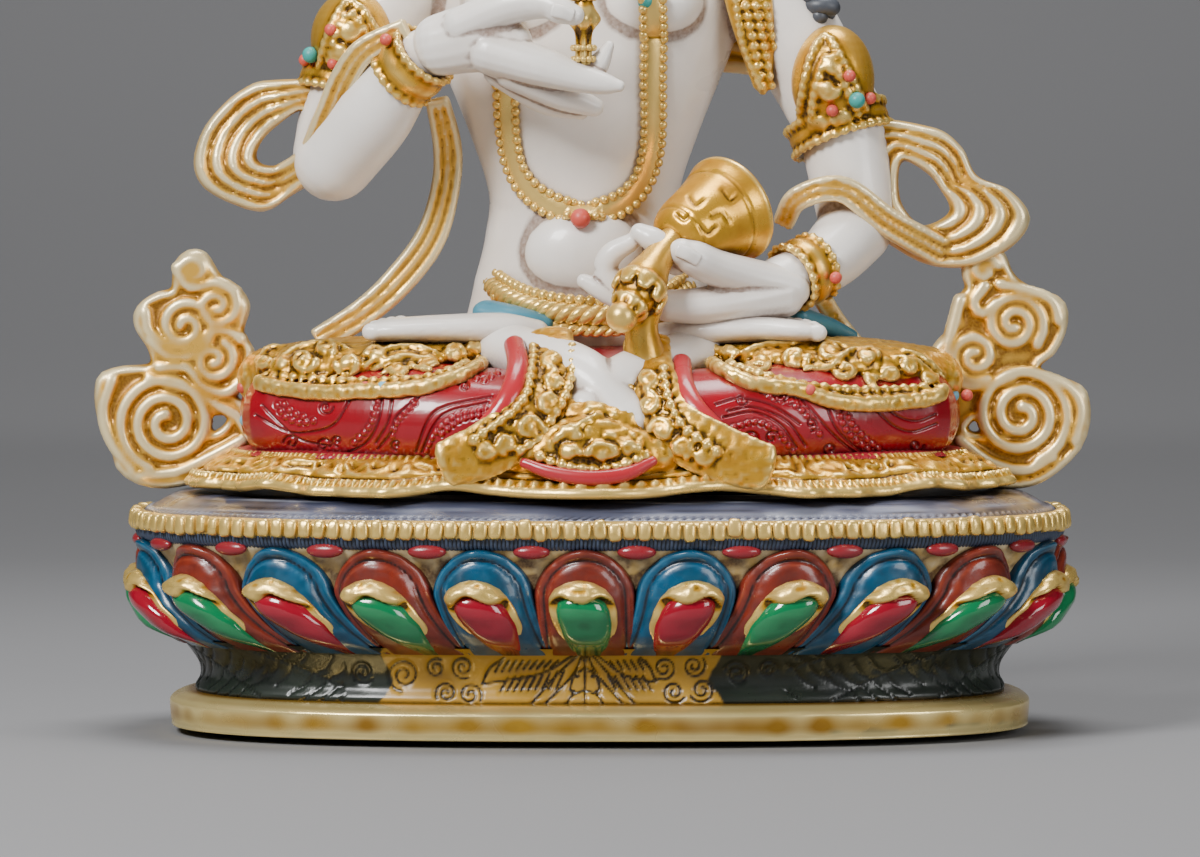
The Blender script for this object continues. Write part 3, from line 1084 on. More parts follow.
def feet():
    made = []
    for hand in (-1, 1):
        if hand < 0:
            rows = [[536, 333, -15, 2.6, 2.2], [500, 329, -16, 4.2, 2.6], [440, 329, -17, 4.4, 2.3], [398, 330, -17.4, 4.6, 2.0], [380, 331, -17.4, 4.0, 1.8]]
            toes = [[372, 330], [377, 327], [384, 325], [392, 323.6], [401, 322.6]]
        else:
            rows = [[662, 336, -15, 2.6, 2.2], [700, 331, -16, 4.2, 2.4], [750, 329, -17, 4.4, 2.2], [790, 331, -17.4, 4.6, 1.9], [806, 332, -17.4, 4, 1.7]]
            toes = [[817, 331], [812, 328], [805, 326], [797, 324.6], [788, 323.6]]
        made.append(by_pixels(rows))
        for k, (u, v) in enumerate(toes):
            made.append(ball(at(u, v + 2, -19.6 + 1.9 * k), [1.7, 1.25, 1.5], 14, 8))
    return made


def skull_shapes():
    x = MIDLINE
    skull = [[x, -3.2, 145.6, 2.6, 3], [x, -1.4, 148.4, 6.6, 7.8], [x, 0.8, 154, 9.2, 10.4], [x, 2.2, 160.6, 10.8, 11.4],
             [x, 3.6, 168, 11.1, 12.4], [x, 4.6, 174.6, 9, 10.6]]
    made = [bar(skull, sides=40, steps=8, face=BACK)]
    made.append(bar([[x, -8.8, 163.4, 0.9, 0.9], [x, -10.0, 159, 1.1, 1.1], [x, -11.2, 155.8, 1.7, 1.5]], face=FRONT, sides=16))
    for hand in (-1, 1):
        made.append(ball([x + hand * 1.6, -9.9, 155.4], [1.3, 1.4, 1.1], 16, 10))
        made.append(ball([x + hand * 4.3, -7.6, 160.9], [2.7, 1.7, 1.5], 20, 12))
        made.append(bar([[x + hand * 1.6, -8.9, 164.2, 0.7], [x + hand * 4.6, -8.4, 165.1, 0.7], [x + hand * 7.6, -6.2, 164.2, 0.6]], face=FRONT, sides=12))
        made.append(ball([x + hand * 5.6, -5.4, 155.4], [3.2, 2.6, 3.2], 20, 12))
        made.append(bar([[x + hand * 10.9, 3.6, 165.6, 2.2, 1.1], [x + hand * 11.4, 3.8, 159, 1.9, 1.1], [x + hand * 10.6, 3.4, 150.4, 1.7, 1.1]], face=SIDE, sides=16))
    made.append(ball([x, -9.3, 151.0], [3.0, 1.5, 0.9], 20, 10))
    made.append(ball([x, -9.1, 149.6], [2.3, 1.4, 0.9], 20, 10))
    made.append(ball([x, -7.6, 146.8], [2.6, 2.2, 1.9], 20, 10))
    return made


def skin():
    body = [
        bar(TRUNK, sides=56, steps=8, face=BACK),
        ball([MIDLINE - 9.6, -2.6, 116.5], [9.6, 6.2, 6.6], 32, 16), ball([MIDLINE + 9.6, -2.6, 116.5], [9.6, 6.2, 6.6], 32, 16),
        ball([MIDLINE, -3.0, 76], [9.6, 5.2, 7.6], 28, 14),
        bar(UPPER_LEFT, sides=28, steps=8, face=FRONT), bar(FORE_LEFT, sides=28, steps=8),
        bar(UPPER_RIGHT, sides=28, steps=8, face=FRONT), bar(FORE_RIGHT, sides=28, steps=8),
    ]
    piece("body_skin", fuse(body, 0.62, 10), PEARL, scale=8)
    shins = [
        bar([[-15, -17, 61, 5, 4.4], [-3, -27, 57, 4.8, 4.6], [4.5, -31.5, 50, 4.4, 4.2]], sides=24),
        bar([[15, -16, 60, 5, 4.4], [4, -27, 56, 4.6, 4.6], [-2, -31, 52, 3.6, 3.6]], sides=24),
    ]
    piece("shins", fuse(shins, 0.45, 5), PEARL)
    piece("hands", fuse(raised_hand() + lowered_hand(), 0.34, 4), PEARL)
    piece("feet", fuse(feet(), 0.38, 4), PEARL)
    piece("head_skin", fuse(skull_shapes(), 0.42, 6), PEARL)
    nails = []
    for rows in ([[553, 10, -27.2], [562, 12, -27.2], [572, 15.5, -26.7]], [[678, 250, -26.4], [688, 254, -26.6], [698, 260, -26.0]]):
        nails.append(bar([[*at(u, v, y), 1.1, 0.35] for u, v, y in rows], sides=12, face=FRONT))
    piece("nails", joined(nails), PEARL)


LEFT_LINES = [
    [[255, 415], [285, 431], [305, 433], [333, 425], [350, 399]],
    [[382, 397], [378, 421], [366, 443], [343, 455]],
    [[418, 397], [396, 417], [392, 431], [378, 449]],
    [[492, 396], [446, 406], [428, 420], [416, 452]],
    [[488, 402], [450, 411], [434, 425], [422, 452]],
    [[262, 405], [280, 424], [300, 440], [330, 447]],
    [[392, 397], [388, 421], [376, 443]],
]
LEFT_DOTS = [
    [[277, 405], [285, 417], [300, 423], [313, 421]], [[378, 401], [370, 425], [354, 443]], [[414, 403], [396, 423], [392, 436]],
    [[486, 409], [456, 416], [436, 432], [426, 451]], [[470, 374], [484, 380], [498, 372]], [[284, 404], [291, 412], [303, 417]],
    [[486, 414], [460, 420], [442, 434]],
]
LEFT_CURLS = [(325, 407, 8, 0, 1), (396, 445, 6, 90, 1), (291, 443, 8, 180, 1), (323, 446, 8, 0, -1), (337, 441, 6, 90, 1), (464, 386, 6, 200, 1)]
RIGHT_LINES = [
    [[728, 411], [754, 407], [787, 421], [806, 446]], [[724, 417], [754, 412], [781, 425], [797, 448]],
    [[802, 399], [835, 436], [861, 458]], [[826, 403], [838, 430], [862, 452], [884, 460]],
    [[876, 409], [894, 426], [913, 432], [937, 424]], [[880, 402], [900, 417], [918, 421], [936, 414]],
    [[716, 404], [740, 398], [772, 405], [800, 424]],
]
RIGHT_DOTS = [
    [[734, 427], [758, 422], [779, 434], [793, 452]], [[845, 411], [857, 430], [884, 454]], [[838, 409], [848, 432], [868, 450]],
    [[764, 391], [778, 400], [796, 402]], [[786, 396], [804, 412], [820, 434]],
]
RIGHT_CURLS = [(742, 399, 7, 0, 1), (782, 396, 7, 180, -1), (831, 450, 8, 90, 1), (916, 446, 8, 0, 1), (812, 424, 7, 90, -1), (752, 440, 9, 200, 1), (772, 438, 8, 0, -1)]


def crimson():
    shapes = [bar(THIGH, sides=32), bar(SHIN, sides=32), bar(mirror(THIGH), sides=32), bar(mirror(SHIN), sides=32),
              ball([0, -2, 50], [46, 31, 11.4], 48, 24), ball([-1, 14, 52], [30, 22, 13.4], 40, 20)]
    points, quads, tris = fuse(shapes, 0.62, 6)
    pixels = seen(points[quads].mean(axis=1))
    middle = points[quads].mean(axis=1)
    zone = (middle[:, 1] < -6) & (pixels[:, 1] > 364) & (pixels[:, 1] < 466)
    zone &= ((pixels[:, 0] > 240) & (pixels[:, 0] < 524)) | ((pixels[:, 0] > 672) & (pixels[:, 0] < 966))
    shape = refined((points, quads, tris), zone, 4, 6)
    points = shape[0]
    normals = normals_of(*shape)
    pixels = seen(points)
    lines = LEFT_LINES + RIGHT_LINES + [spiral(u, v, r, 1.1, a, h) for u, v, r, a, h in LEFT_CURLS + RIGHT_CURLS]
    marks = np.concatenate([even(smooth_line(row, 6), 7.2)[0][:, :2] for row in LEFT_DOTS + RIGHT_DOTS])
    front = np.flatnonzero((points[:, 1] < -8) & (normals[:, 1] < -0.05))
    line = np.clip(1 - near(pixels[front], lines) / 2.0, 0, 1)
    dot = np.full(len(front), 1e9)
    for chunk in np.array_split(np.arange(len(front)), 24):
        dot[chunk] = np.sqrt(((pixels[front][chunk][:, None] - marks[None]) ** 2).sum(axis=2)).min(axis=1)
    raised = np.clip(1 - (dot / 3.4) ** 2, 0, 1)
    ringed = np.clip(1 - np.abs(dot - 3.8) / 1.0, 0, 1)
    depth = np.maximum(line * 0.42, ringed * 0.16) - raised * 0.28
    points[front] -= normals[front] * depth[:, None]
    cav = np.full(len(points), 0.52)
    cav[front] = 0.52 - np.maximum(line, ringed * 0.55) * 0.34 + raised * 0.12
    piece("knees", shape, CRIMSON, cav=cav)
    folds = [
        by_pixels([[514, 344, -25, 1.7, 1.4], [518, 366, -31, 1.8, 1.4], [511, 394, -35, 1.9, 1.4], [494, 420, -36.4, 1.8, 1.3],
                   [468, 440, -36.6, 1.5, 1.1], [440, 450, -36.2, 1.0, 0.8]], face=FRONT),
        by_pixels([[681, 362, -25, 1.7, 1.4], [683, 384, -31, 1.8, 1.4], [694, 408, -34.6, 1.9, 1.4], [715, 430, -36, 1.8, 1.3],
                   [738, 448, -36.2, 1.4, 1.1]], face=FRONT),
    ]
    piece("folds", fuse(folds, 0.35, 4), CRIMSON)
    return Ground(*shapes)


def knee_pads(ground_shapes):
    shapes = [bar(PAD, sides=36, steps=8), bar(mirror(PAD), sides=36, steps=8)]
    ground = Ground(*shapes, *ground_shapes)
    made = list(shapes)
    lips = [
        [[262, 384], [288, 390], [329, 394], [364, 392], [416, 390], [435, 386], [466, 376], [494, 359], [509, 346]],
        [[700, 360], [730, 377], [760, 387], [800, 391], [822, 399], [860, 404], [900, 402], [926, 399], [940, 392]],
    ]
    rows = [
        [[268, 378], [298, 379], [329, 382], [364, 383], [419, 381], [454, 371], [482, 357], [500, 347]],
        [[704, 354], [734, 368], [770, 379], [812, 388], [850, 391], [890, 391], [922, 389]],
    ]
    for lip in lips:
        points, normals = ground.line(lip, 0.7, pitch=3)
        made.append(tube(points, 1.15, sides=12))
        made.append(tube(points + normals * 0.2 + [0, 0, -0.7], 0.9, sides=12))
    for row in rows:
        made += bead_row(ground, row, 1.85, 0.92, 0.5)
    left = [(305, 361, 12, 0, 1), (349, 364, 12, 180, -1), (282, 366, 8, 90, 1), (326, 350, 9, 40, -1), (376, 356, 9, 180, 1), (454, 354, 9, 0, -1),
            (430, 364, 9, 90, 1), (476, 348, 6, 180, 1), (398, 371, 8, 0, 1), (264, 362, 7, 0, 1)]
    right = [(760, 364, 12, 180, -1), (795, 358, 13, 0, 1), (845, 371, 11, 180, -1), (730, 352, 7, 0, 1), (830, 351, 10, 60, 1), (868, 357, 9, 0, -1),
             (890, 376, 9, 180, 1), (910, 367, 9, 0, -1), (872, 379, 7, 90, 1), (928, 378, 7, 0, 1), (716, 350, 5, 0, 1)]
    for u, v, r, a, h in left + right:
        made += volute(ground, u, v, r, 0.62, 1.4, a, h, 0.35, 0.85)
    waves = [[[366, 366], [384, 352], [410, 348], [436, 352]], [[372, 371], [392, 360], [416, 358], [440, 366]], [[380, 376], [404, 366], [424, 372]],
             [[270, 372], [296, 350], [330, 344], [350, 350]], [[258, 372], [266, 352], [284, 346]],
             [[800, 372], [830, 366], [850, 352], [880, 350]], [[778, 346], [810, 344], [846, 346]], [[896, 356], [920, 366], [938, 384]],
             [[900, 350], [926, 362], [944, 380]], [[742, 352], [770, 346], [790, 346]]]
    for wave in waves:
        made += ridge(ground, wave, 0.62, 0.3, taper=True)
    shape = fuse(made, 0.37, 2)
    points = shape[0]
    fine = (hash_noise(points, 0.75, 31) - 0.5) * 0.28
    points += normals_of(*shape) * fine[:, None]
    piece("knee_pads", shape, GOLD, scale=6, span=0.4)


HEM_EDGE = [
    [186, 488], [210, 489], [235, 492], [262, 489], [278, 491], [300, 496], [338, 498], [380, 499], [410, 497], [436, 492], [454, 490], [479, 495],
    [516, 498], [548, 504], [603, 507], [624, 507], [645, 503], [663, 497], [690, 493], [727, 491], [756, 494], [787, 497],
    [820, 501], [847, 502], [875, 500], [897, 496], [918, 490], [940, 488], [970, 491], [1000, 488], [1020, 484],
]


def hem():
    """The brocade border that lies wavy on the disc, and the skirt above it."""
    count = 1500
    angle = np.arange(count) * 2 * np.pi / count
    wave = 0.9 * np.cos(14 * angle) + 0.5 * np.cos(31 * angle + 1) + 0.35 * np.cos(47 * angle)
    edge = np.asarray(HEM_EDGE, float)

    def ring(half):
        return np.stack([*plan(half + wave * (half - 52) / (HEM_HALF - 52), angle, HEM_FLAT).T], axis=1)

    outer = ring(HEM_HALF)
    pixels = seen(np.concatenate([outer, np.full((count, 1), 39.5)], axis=1))
    v = np.interp(pixels[:, 0], edge[:, 0], edge[:, 1])
    front = outer[:, 1] < 0
    wanted = np.array([at(u, w, y)[2] for u, w, y in zip(pixels[:, 0], v, outer[:, 1])])
    back = 39.0 + 0.5 * np.cos(14 * angle) + 0.3 * np.cos(9 * angle)
    low = np.where(front, np.clip(wanted, 38.15, 41.2), back)
    blend = np.clip((-outer[:, 1]) / 12, 0, 1)
    low = low * blend + back * (1 - blend)
    low = np.convolve(np.concatenate([low[-8:], low, low[:8]]), np.ones(17) / 17, "valid")
    rows = []
    section = [[-7, 0.7, 0], [-3, 0.15, 0], [-0.9, 0.0, 0], [-0.1, 0.25, 0], [0.1, 0.9, 0], [-0.3, 1.5, 0.2]]
    for d, h, f in section:
        xy = ring(HEM_HALF + d)
        rows.append(np.stack([xy[:, 0], xy[:, 1], low + h], axis=1))
    steps = 22
    for k in range(1, steps + 1):
        f = k / steps
        xy = ring(HEM_HALF - 0.3 - 8.4 * f)
        rows.append(np.stack([xy[:, 0], xy[:, 1], (low + 1.5) * (1 - f) ** 1.2 + (44.6) * (1 - (1 - f) ** 1.2)], axis=1))
    skin_points = np.stack(rows, axis=1)
    shape = grid(skin_points, wrap_u=True)
    points = shape[0]
    normals = normals_of(*shape)
    f = np.tile(np.concatenate([np.full(6, -1.0), np.arange(1, steps + 1) / steps]), count)
    run = np.repeat(np.arange(count) * 2 * np.pi * 62 / count, 6 + steps)
    n1, n2 = hash_noise(points, 1.7, 3), hash_noise(points, 0.9, 4)
    filigree = (1 - np.abs(2 * n1 - 1) * 2.2) * 0.45 + (n2 - 0.5) * 0.3
    row1 = np.clip(1 - np.abs(f - 0.12) / 0.09, 0, 1) * (0.5 + 0.5 * np.cos(run * 2 * np.pi / 1.5))
    groove = np.clip(1 - np.abs(f - 0.27) / 0.05, 0, 1)
    row2 = np.clip(1 - np.abs(f - 0.86) / 0.1, 0, 1) * (0.5 + 0.5 * np.cos(run * 2 * np.pi / 1.6))
    middle = np.clip(1 - np.abs(f - 0.56) / 0.26, 0, 1) ** 0.5
    lift = np.where(f > 0, row1 * 0.9 + row2 * 0.6 - groove * 0.5 + middle * filigree, 0)
    points += normals * lift[:, None]
    piece("hem", shape, GOLD, scale=5, span=0.5)
    rows, tones = [], []
    for half, z in smooth_line([[59.4, 43.9], [58.8, 44.5], [57, 45.0], [54.5, 45.5], [51.5, 46.4], [48.5, 48.5]], 5):
        xy = plan(half, angle, HEM_FLAT)
        rows.append(np.stack([xy[:, 0], xy[:, 1], np.full(count, z)], axis=1))
    skirt = np.stack(rows, axis=1)
    flat_points = skirt.reshape(-1, 3)
    n = skirt.shape[1]
    across = np.repeat(np.arange(n)[None], count, axis=0).ravel() / n
    run = np.repeat(np.arange(count) * 2 * np.pi * 57 / count, n)
    row = np.floor(across * 7)
    scallop = np.abs(((run / 1.9 + row * 0.5) % 1) - 0.5) * 2
    mark = np.clip(1 - np.abs(np.hypot(scallop, (across * 7 - row) * 1.1) - 0.75) / 0.22, 0, 1) * (across < 0.72)
    flat_points += normals_of(*grid(skirt, wrap_u=True)) * (-0.22 * mark)[:, None]
    piece("skirt", grid(flat_points.reshape(skirt.shape), wrap_u=True), PINK, cav=0.56 - 0.34 * mark)


def lap():
    borders = [
        [[-8.2, -22, 63.4, 4.0, 1.3], [-7.6, -30, 58, 4.0, 1.3], [-10, -35.4, 51.6, 4.4, 1.3], [-16.4, -37.5, 46.6, 4.6, 1.2], [-24, -38.6, 43.4, 3.8, 1.2]],
        [[7.4, -22, 62.4, 3.8, 1.3], [8, -30, 57, 4.0, 1.3], [11.4, -35.5, 49.6, 4.4, 1.3], [18.4, -37.5, 45.4, 4.6, 1.2], [26, -38.6, 43, 3.8, 1.2]],
    ]
    shapes = [bar(rows, sides=24, steps=8, face=FRONT) for rows in borders]
    ground = Ground(*shapes)
    made = list(shapes)
    for row in ([[534, 348], [532, 372], [525, 397], [510, 414], [492, 427], [474, 440]], [[571, 348], [571, 372], [564, 397], [551, 420], [538, 439], [520, 450]],
                [[629, 362], [630, 384], [631, 412], [642, 434], [654, 452]], [[664, 370], [665, 383], [672, 409], [684, 428], [700, 440], [716, 452]]):
        made += bead_row(ground, row, 1.75, 0.85, 0.4)
    for u, v, r, a, h in ((552, 360, 9, 90, 1), (555, 382, 9, -90, -1), (549, 402, 10, 90, 1), (529, 428, 12, 0, -1), (507, 444, 9, 120, 1), (486, 449, 9, 0, 1),
                          (647, 380, 10, 90, -1), (649, 404, 10, -90, 1), (662, 430, 12, 180, 1), (682, 448, 10, 60, -1), (704, 456, 8, 0, 1)):
        made += volute(ground, u, v, r, 0.62, 1.3, a, h, 0.3, 0.95)
    shape = fuse(made, 0.36, 2)
    shape[0][:] += normals_of(*shape) * ((hash_noise(shape[0], 0.8, 5) - 0.5) * 0.25)[:, None]
    piece("lap_borders", shape, GOLD, scale=6, span=0.4)
    panel = [bar([[-13, -34.4, 44.8, 3, 3.2], [-2, -36.2, 45.6, 5.4, 3.4], [10, -34.4, 44.8, 3, 3.2]], sides=28, face=FRONT),
             bar([[-9, -31, 52, 3, 2.4], [-3, -33.8, 48.6, 5, 2.6], [4, -34, 48, 4.6, 2.6]], sides=24, face=FRONT)]
    ground = Ground(*panel)
    made = panel + bead_row(ground, [[541, 457], [562, 465], [589, 468], [620, 465], [646, 454]], 1.7, 0.85, 0.3)
    made += volute(ground, 603, 452, 15, 0.7, 1.8, 180, 1, 0.35, 0.45)
    made += volute(ground, 570, 452, 9, 0.6, 1.3, 0, -1, 0.3, 0.6) + volute(ground, 630, 447, 8, 0.6, 1.3, 0, 1, 0.3, 0.6)
    made += volute(ground, 574, 430, 8, 0.55, 1.3, 60, 1, 0.3, 0.8)
    for k in range(7):
        made += ridge(ground, [[556 + 6 * k, 440 - 3.5 * k], [564 + 6 * k, 430 - 2.4 * k]], 0.5, 0.3)
    shape = fuse(made, 0.36, 2)
    shape[0][:] += normals_of(*shape) * ((hash_noise(shape[0], 1.0, 6) - 0.5) * 0.5)[:, None]
    piece("panel", shape, GOLD, scale=6, span=0.4)
    crescent = by_pixels([[524, 463, -38.4, 0.8, 0.7], [552, 473, -39.6, 1.1, 0.9], [589, 478, -40.2, 1.25, 1.0], [626, 474, -39.6, 1.15, 0.9],
                          [653, 461, -38.4, 0.8, 0.7]], sides=20, face=FRONT)
    piece("crescent", crescent, CRIMSON)
    teal = [by_pixels([[598, 438, -33, 1.0, 1.2], [612, 430, -33.4, 1.8, 1.2], [632, 440, -33, 1.2, 1.0]], sides=16, face=FRONT),
            by_pixels([[488, 312, -9, 3.4, 2], [516, 318, -12, 2.8, 2], [545, 324, -12, 2, 1.6]], sides=18),
            by_pixels([[798, 316, -9, 2.4, 1.6], [826, 326, -6, 2.0, 1.6], [850, 336, -2, 1.4, 1.2]], sides=18)]
    piece("teal_cloth", fuse(teal, 0.4, 3), TEAL)


def body_jewels():
    body = Ground(bar(TRUNK, sides=56, steps=8, face=BACK), ball([MIDLINE - 9.6, -2.6, 116.5], [9.6, 6.2, 6.6]),
                  ball([MIDLINE + 9.6, -2.6, 116.5], [9.6, 6.2, 6.6]), ball([MIDLINE, -3.0, 76], [9.6, 5.2, 7.6]))
    made = []
    long = [[-12, 0, 131], [-14.6, 0, 117], [-15, 0, 103], [-13.8, 0, 91], [-9.6, 0, 85], [MIDLINE, 0, 82.6], [4.4, 0, 85], [8, 0, 92],
            [8.4, 0, 105], [8.4, 0, 117], [6.6, 0, 131]]
    points, normals = body.line(pixels_of([[x, -7, z] for x, _, z in long]), 0.0, pitch=4)
    made += band(points, normals, 3.9, rim=0.78, pitch=1.55, centre=0.75, lift=0.1)
    collar = [[-10.6, 0, 133.6], [-9, 0, 127], [MIDLINE, 0, 123], [3.8, 0, 127], [5.4, 0, 133.6]]
    points, normals = body.line(pixels_of([[x, -6, z] for x, _, z in collar]), 0.0, pitch=4)
    if len(points) > 3:
        made += band(points, normals, 6.4, rim=0.9, pitch=1.8, centre=1.0, lift=0.2)
    for k, x in enumerate(np.linspace(-9, 4, 7)):
        where, n = body.drop([x, -60, 121.6 + 0.16 * (x + 2.6) ** 2 - 1.4], BACK, 0.2)
        if where is not None:
            made.append(beads(where[None], 1.3, n[None], 0.8))
    neck, normals = ring_of(np.array([MIDLINE, 6.2, 138.6]), UP, [8.8, 8.4], 40)
    made.append(beads(neck, 1.1, normals, 0.9))
    belly, away = ring_of(np.array([-1.6, 7.6, 0]), UP, [20.4, 15.6], 240)

    def belt(du, dz, radius):
        a = np.arctan2(belly[:, 1] - 7.6, belly[:, 0] + 1.6)
        front = np.clip(-np.sin(a), 0, 1)
        line = belly + away * du
        line[:, 2] = 71.2 - 3.4 * front**2 + dz + 0.5 * np.cos(a * 2) - 0.6 * (np.cos(a) + 1) * front
        return np.concatenate([line, line[:1]])

    upper, _ = even(belt(0.4, 1.9, 0), 1.6)
    made.append(beads(upper, 0.95, unit(upper - [[-1.6, 7.6, 71]] * len(upper)), 0.95))
    made += rope(belt(0.7, -0.4, 0), 1.7, 5.4, 3)
    made += rope(belt(0.9, -2.9, 0), 1.0, 3.4, 2)
    string = by_line(body, [[500, 297], [520, 303], [545, 316], [560, 326]])
    if string is not None:
        made.append(string)
    piece("body_jewels", joined(made), GOLD, scale=4, span=0.5)


def by_line(ground, pixels):
    points, normals = ground.line(pixels, 1.2, pitch=4)
    return beads(even(points, 1.7)[0], 0.9, FRONT) if len(points) > 2 else None


def arm_jewels():
    made = []
    made += cuff([-31.9, -10.6, 104.4], [-28.2, -13.2, 107.9], 5.2, 0.8, 1.55, 1.0)
    made += cuff([34.6, -8.8, 74.0], [30.8, -11.8, 72.3], 4.9, 0.8, 1.55, 1.0)
    made += cuff([-39.9, 2.2, 104.4], [-41.2, 1.4, 100.6], 8.1, 0.8, 1.6, 0.6)
    made += cuff([38.2, 2.7, 98.2], [39.5, 2.0, 94.4], 7.9, 0.8, 1.6, 0.6)
    leaves = [ball([37.6, -2, 104], [6.8, 6.6, 9], 32, 20), ball([-40, -1.4, 110.6], [6.8, 7, 8], 32, 20)]
    ground = Ground(*leaves)
    made += leaves
    right = [[[802, 150], [800, 110], [810, 60], [826, 36], [842, 60], [862, 100], [876, 140]], [[812, 140], [812, 108], [820, 74], [830, 56], [840, 76], [856, 108], [862, 132]]]
    left = [[[318, 74], [326, 40], [340, 10], [352, 2], [370, 20], [384, 50], [388, 66]], [[330, 60], [338, 30], [350, 14], [364, 30], [374, 54]]]
    for row in right + left:
        made += bead_row(ground, row, 1.6, 0.75, 0.2)
    for u, v, r, a, h in ((828, 90, 9, 0, 1), (842, 118, 9, 180, -1), (822, 124, 8, 90, 1), (832, 66, 6, 0, 1), (350, 30, 9, 0, 1), (340, 52, 8, 180, -1), (362, 50, 8, 90, 1)):
        made += volute(ground, u, v, r, 0.6, 1.4, a, h, 0.25, 1.0)
    for hand, side in ((1, 800), (1, 850)):
        pass
    piece("arm_jewels", fuse(made, 0.42, 2), GOLD, scale=6, span=0.4)


LEFT_LOOP = [[-42, 103.6], [-53.4, 104.1], [-57.8, 102.7], [-61.6, 99.6], [-64.6, 95.6], [-65.9, 90.6], [-64.3, 86.7],
             [-59.6, 84], [-54.4, 82.8], [-49.6, 85.6], [-43, 90], [-41, 98]]
LEFT_HOLE = [[-48, 94], [-49.6, 91.5], [-51.7, 90.4], [-54.6, 90.5], [-55.6, 92.2], [-53.7, 95.4], [-48.4, 99]]
RIGHT_LOOP = [[42, 96.8], [53.5, 96.6], [58.6, 93.4], [61.2, 88.6], [66.5, 86.3], [69.8, 82.2], [68.2, 78.2], [63.3, 74.8],
              [58.4, 73.6], [51.9, 74.6], [44, 79.6], [40, 84]]
RIGHT_HOLE = [[48.6, 85.6], [50.2, 82.2], [52.7, 80.6], [56.6, 82.8], [55.2, 86.3], [52.7, 89.2], [49, 90.8]]


def around(loop, middle, count):
    """A closed smooth curve through a loop, taken at even angles about a middle point."""
    line = smooth_line(loop, 10, closed=True)
    a = np.unwrap(np.arctan2(line[:, 1] - middle[1], line[:, 0] - middle[0]))
    r = np.hypot(line[:, 0] - middle[0], line[:, 1] - middle[1])
    if a[-1] < a[0]:
        a, r = a[::-1], r[::-1]
    wanted = a[0] + np.arange(count) * 2 * np.pi / count
    a, r = np.concatenate([a, a[:4] + 2 * np.pi]), np.concatenate([r, r[:4]])
    keep = np.argsort(a)
    r = np.interp(wanted, a[keep], r[keep])
    order = np.argsort(np.mod(wanted, 2 * np.pi))
    return np.mod(wanted, 2 * np.pi)[order], r[order]


def ribbon_loop(outer, hole, y, ridges, thick):
    """A flat loop of scarf between two outlines, with rounded folds running round it."""
    middle = np.mean(hole, axis=0)
    count = 220
    angle, r_out = around(outer, middle, count)
    _, r_in = around(hole, middle, count)
    across = 44
    t = np.linspace(0, 1, across)
    fold = np.abs(np.sin(np.pi * ridges * t)) ** 0.7
    height = (thick / 2) * (0.45 + 0.55 * fold) * np.sin(np.pi * np.clip(t * 8, 0, 0.5)) * np.sin(np.pi * np.clip((1 - t) * 8, 0, 0.5))
    r = r_in[:, None] + (r_out - r_in)[:, None] * t[None]
    x = middle[0] + r * np.cos(angle)[:, None]
    z = middle[1] + r * np.sin(angle)[:, None]
    sway = 0.8 * np.sin(angle * 3)[:, None] * np.sin(np.pi * t)[None]
    front = np.stack([x, y + sway - height[None], z], axis=-1)
    back = np.stack([x, y + sway + height[None], z], axis=-1)[:, ::-1]
    return grid(np.concatenate([front, back[:, 1:-1]], axis=1), wrap_u=True, wrap_v=True)


def ribbon(stations, ridges=3, face=FRONT, steps=10, across=30):
    """A flat strip with lengthwise folds. A station is [x, y, z, half width, half thickness]."""
    rows = smooth_line(np.array(stations, float), steps)
    middle, size = rows[:, :3], rows[:, 3:]
    tangent = unit(np.gradient(middle, axis=0))
    side = unit(np.cross(tangent, face))
    out = np.cross(side, tangent)
    t = np.linspace(-1, 1, across)
    fold = 0.5 + 0.5 * np.abs(np.sin(np.pi * ridges * (t + 1) / 2)) ** 0.7
    h = fold * np.clip((1 - t**2) * 4, 0, 1) ** 0.5
    upper = middle[:, None] + side[:, None] * (t[None, :, None] * size[:, None, :1]) + out[:, None] * (h[None, :, None] * size[:, None, 1:])
    lower = middle[:, None] + side[:, None] * (t[None, :, None] * size[:, None, :1]) - out[:, None] * (h[None, :, None] * size[:, None, 1:])
    body = np.concatenate([upper, lower[:, ::-1][:, 1:-1]], axis=1)
    start, finish = np.broadcast_to(middle[:1, None], body[:1].shape), np.broadcast_to(middle[-1:, None], body[:1].shape)
    return grid(np.concatenate([start, body, finish]), wrap_v=True)


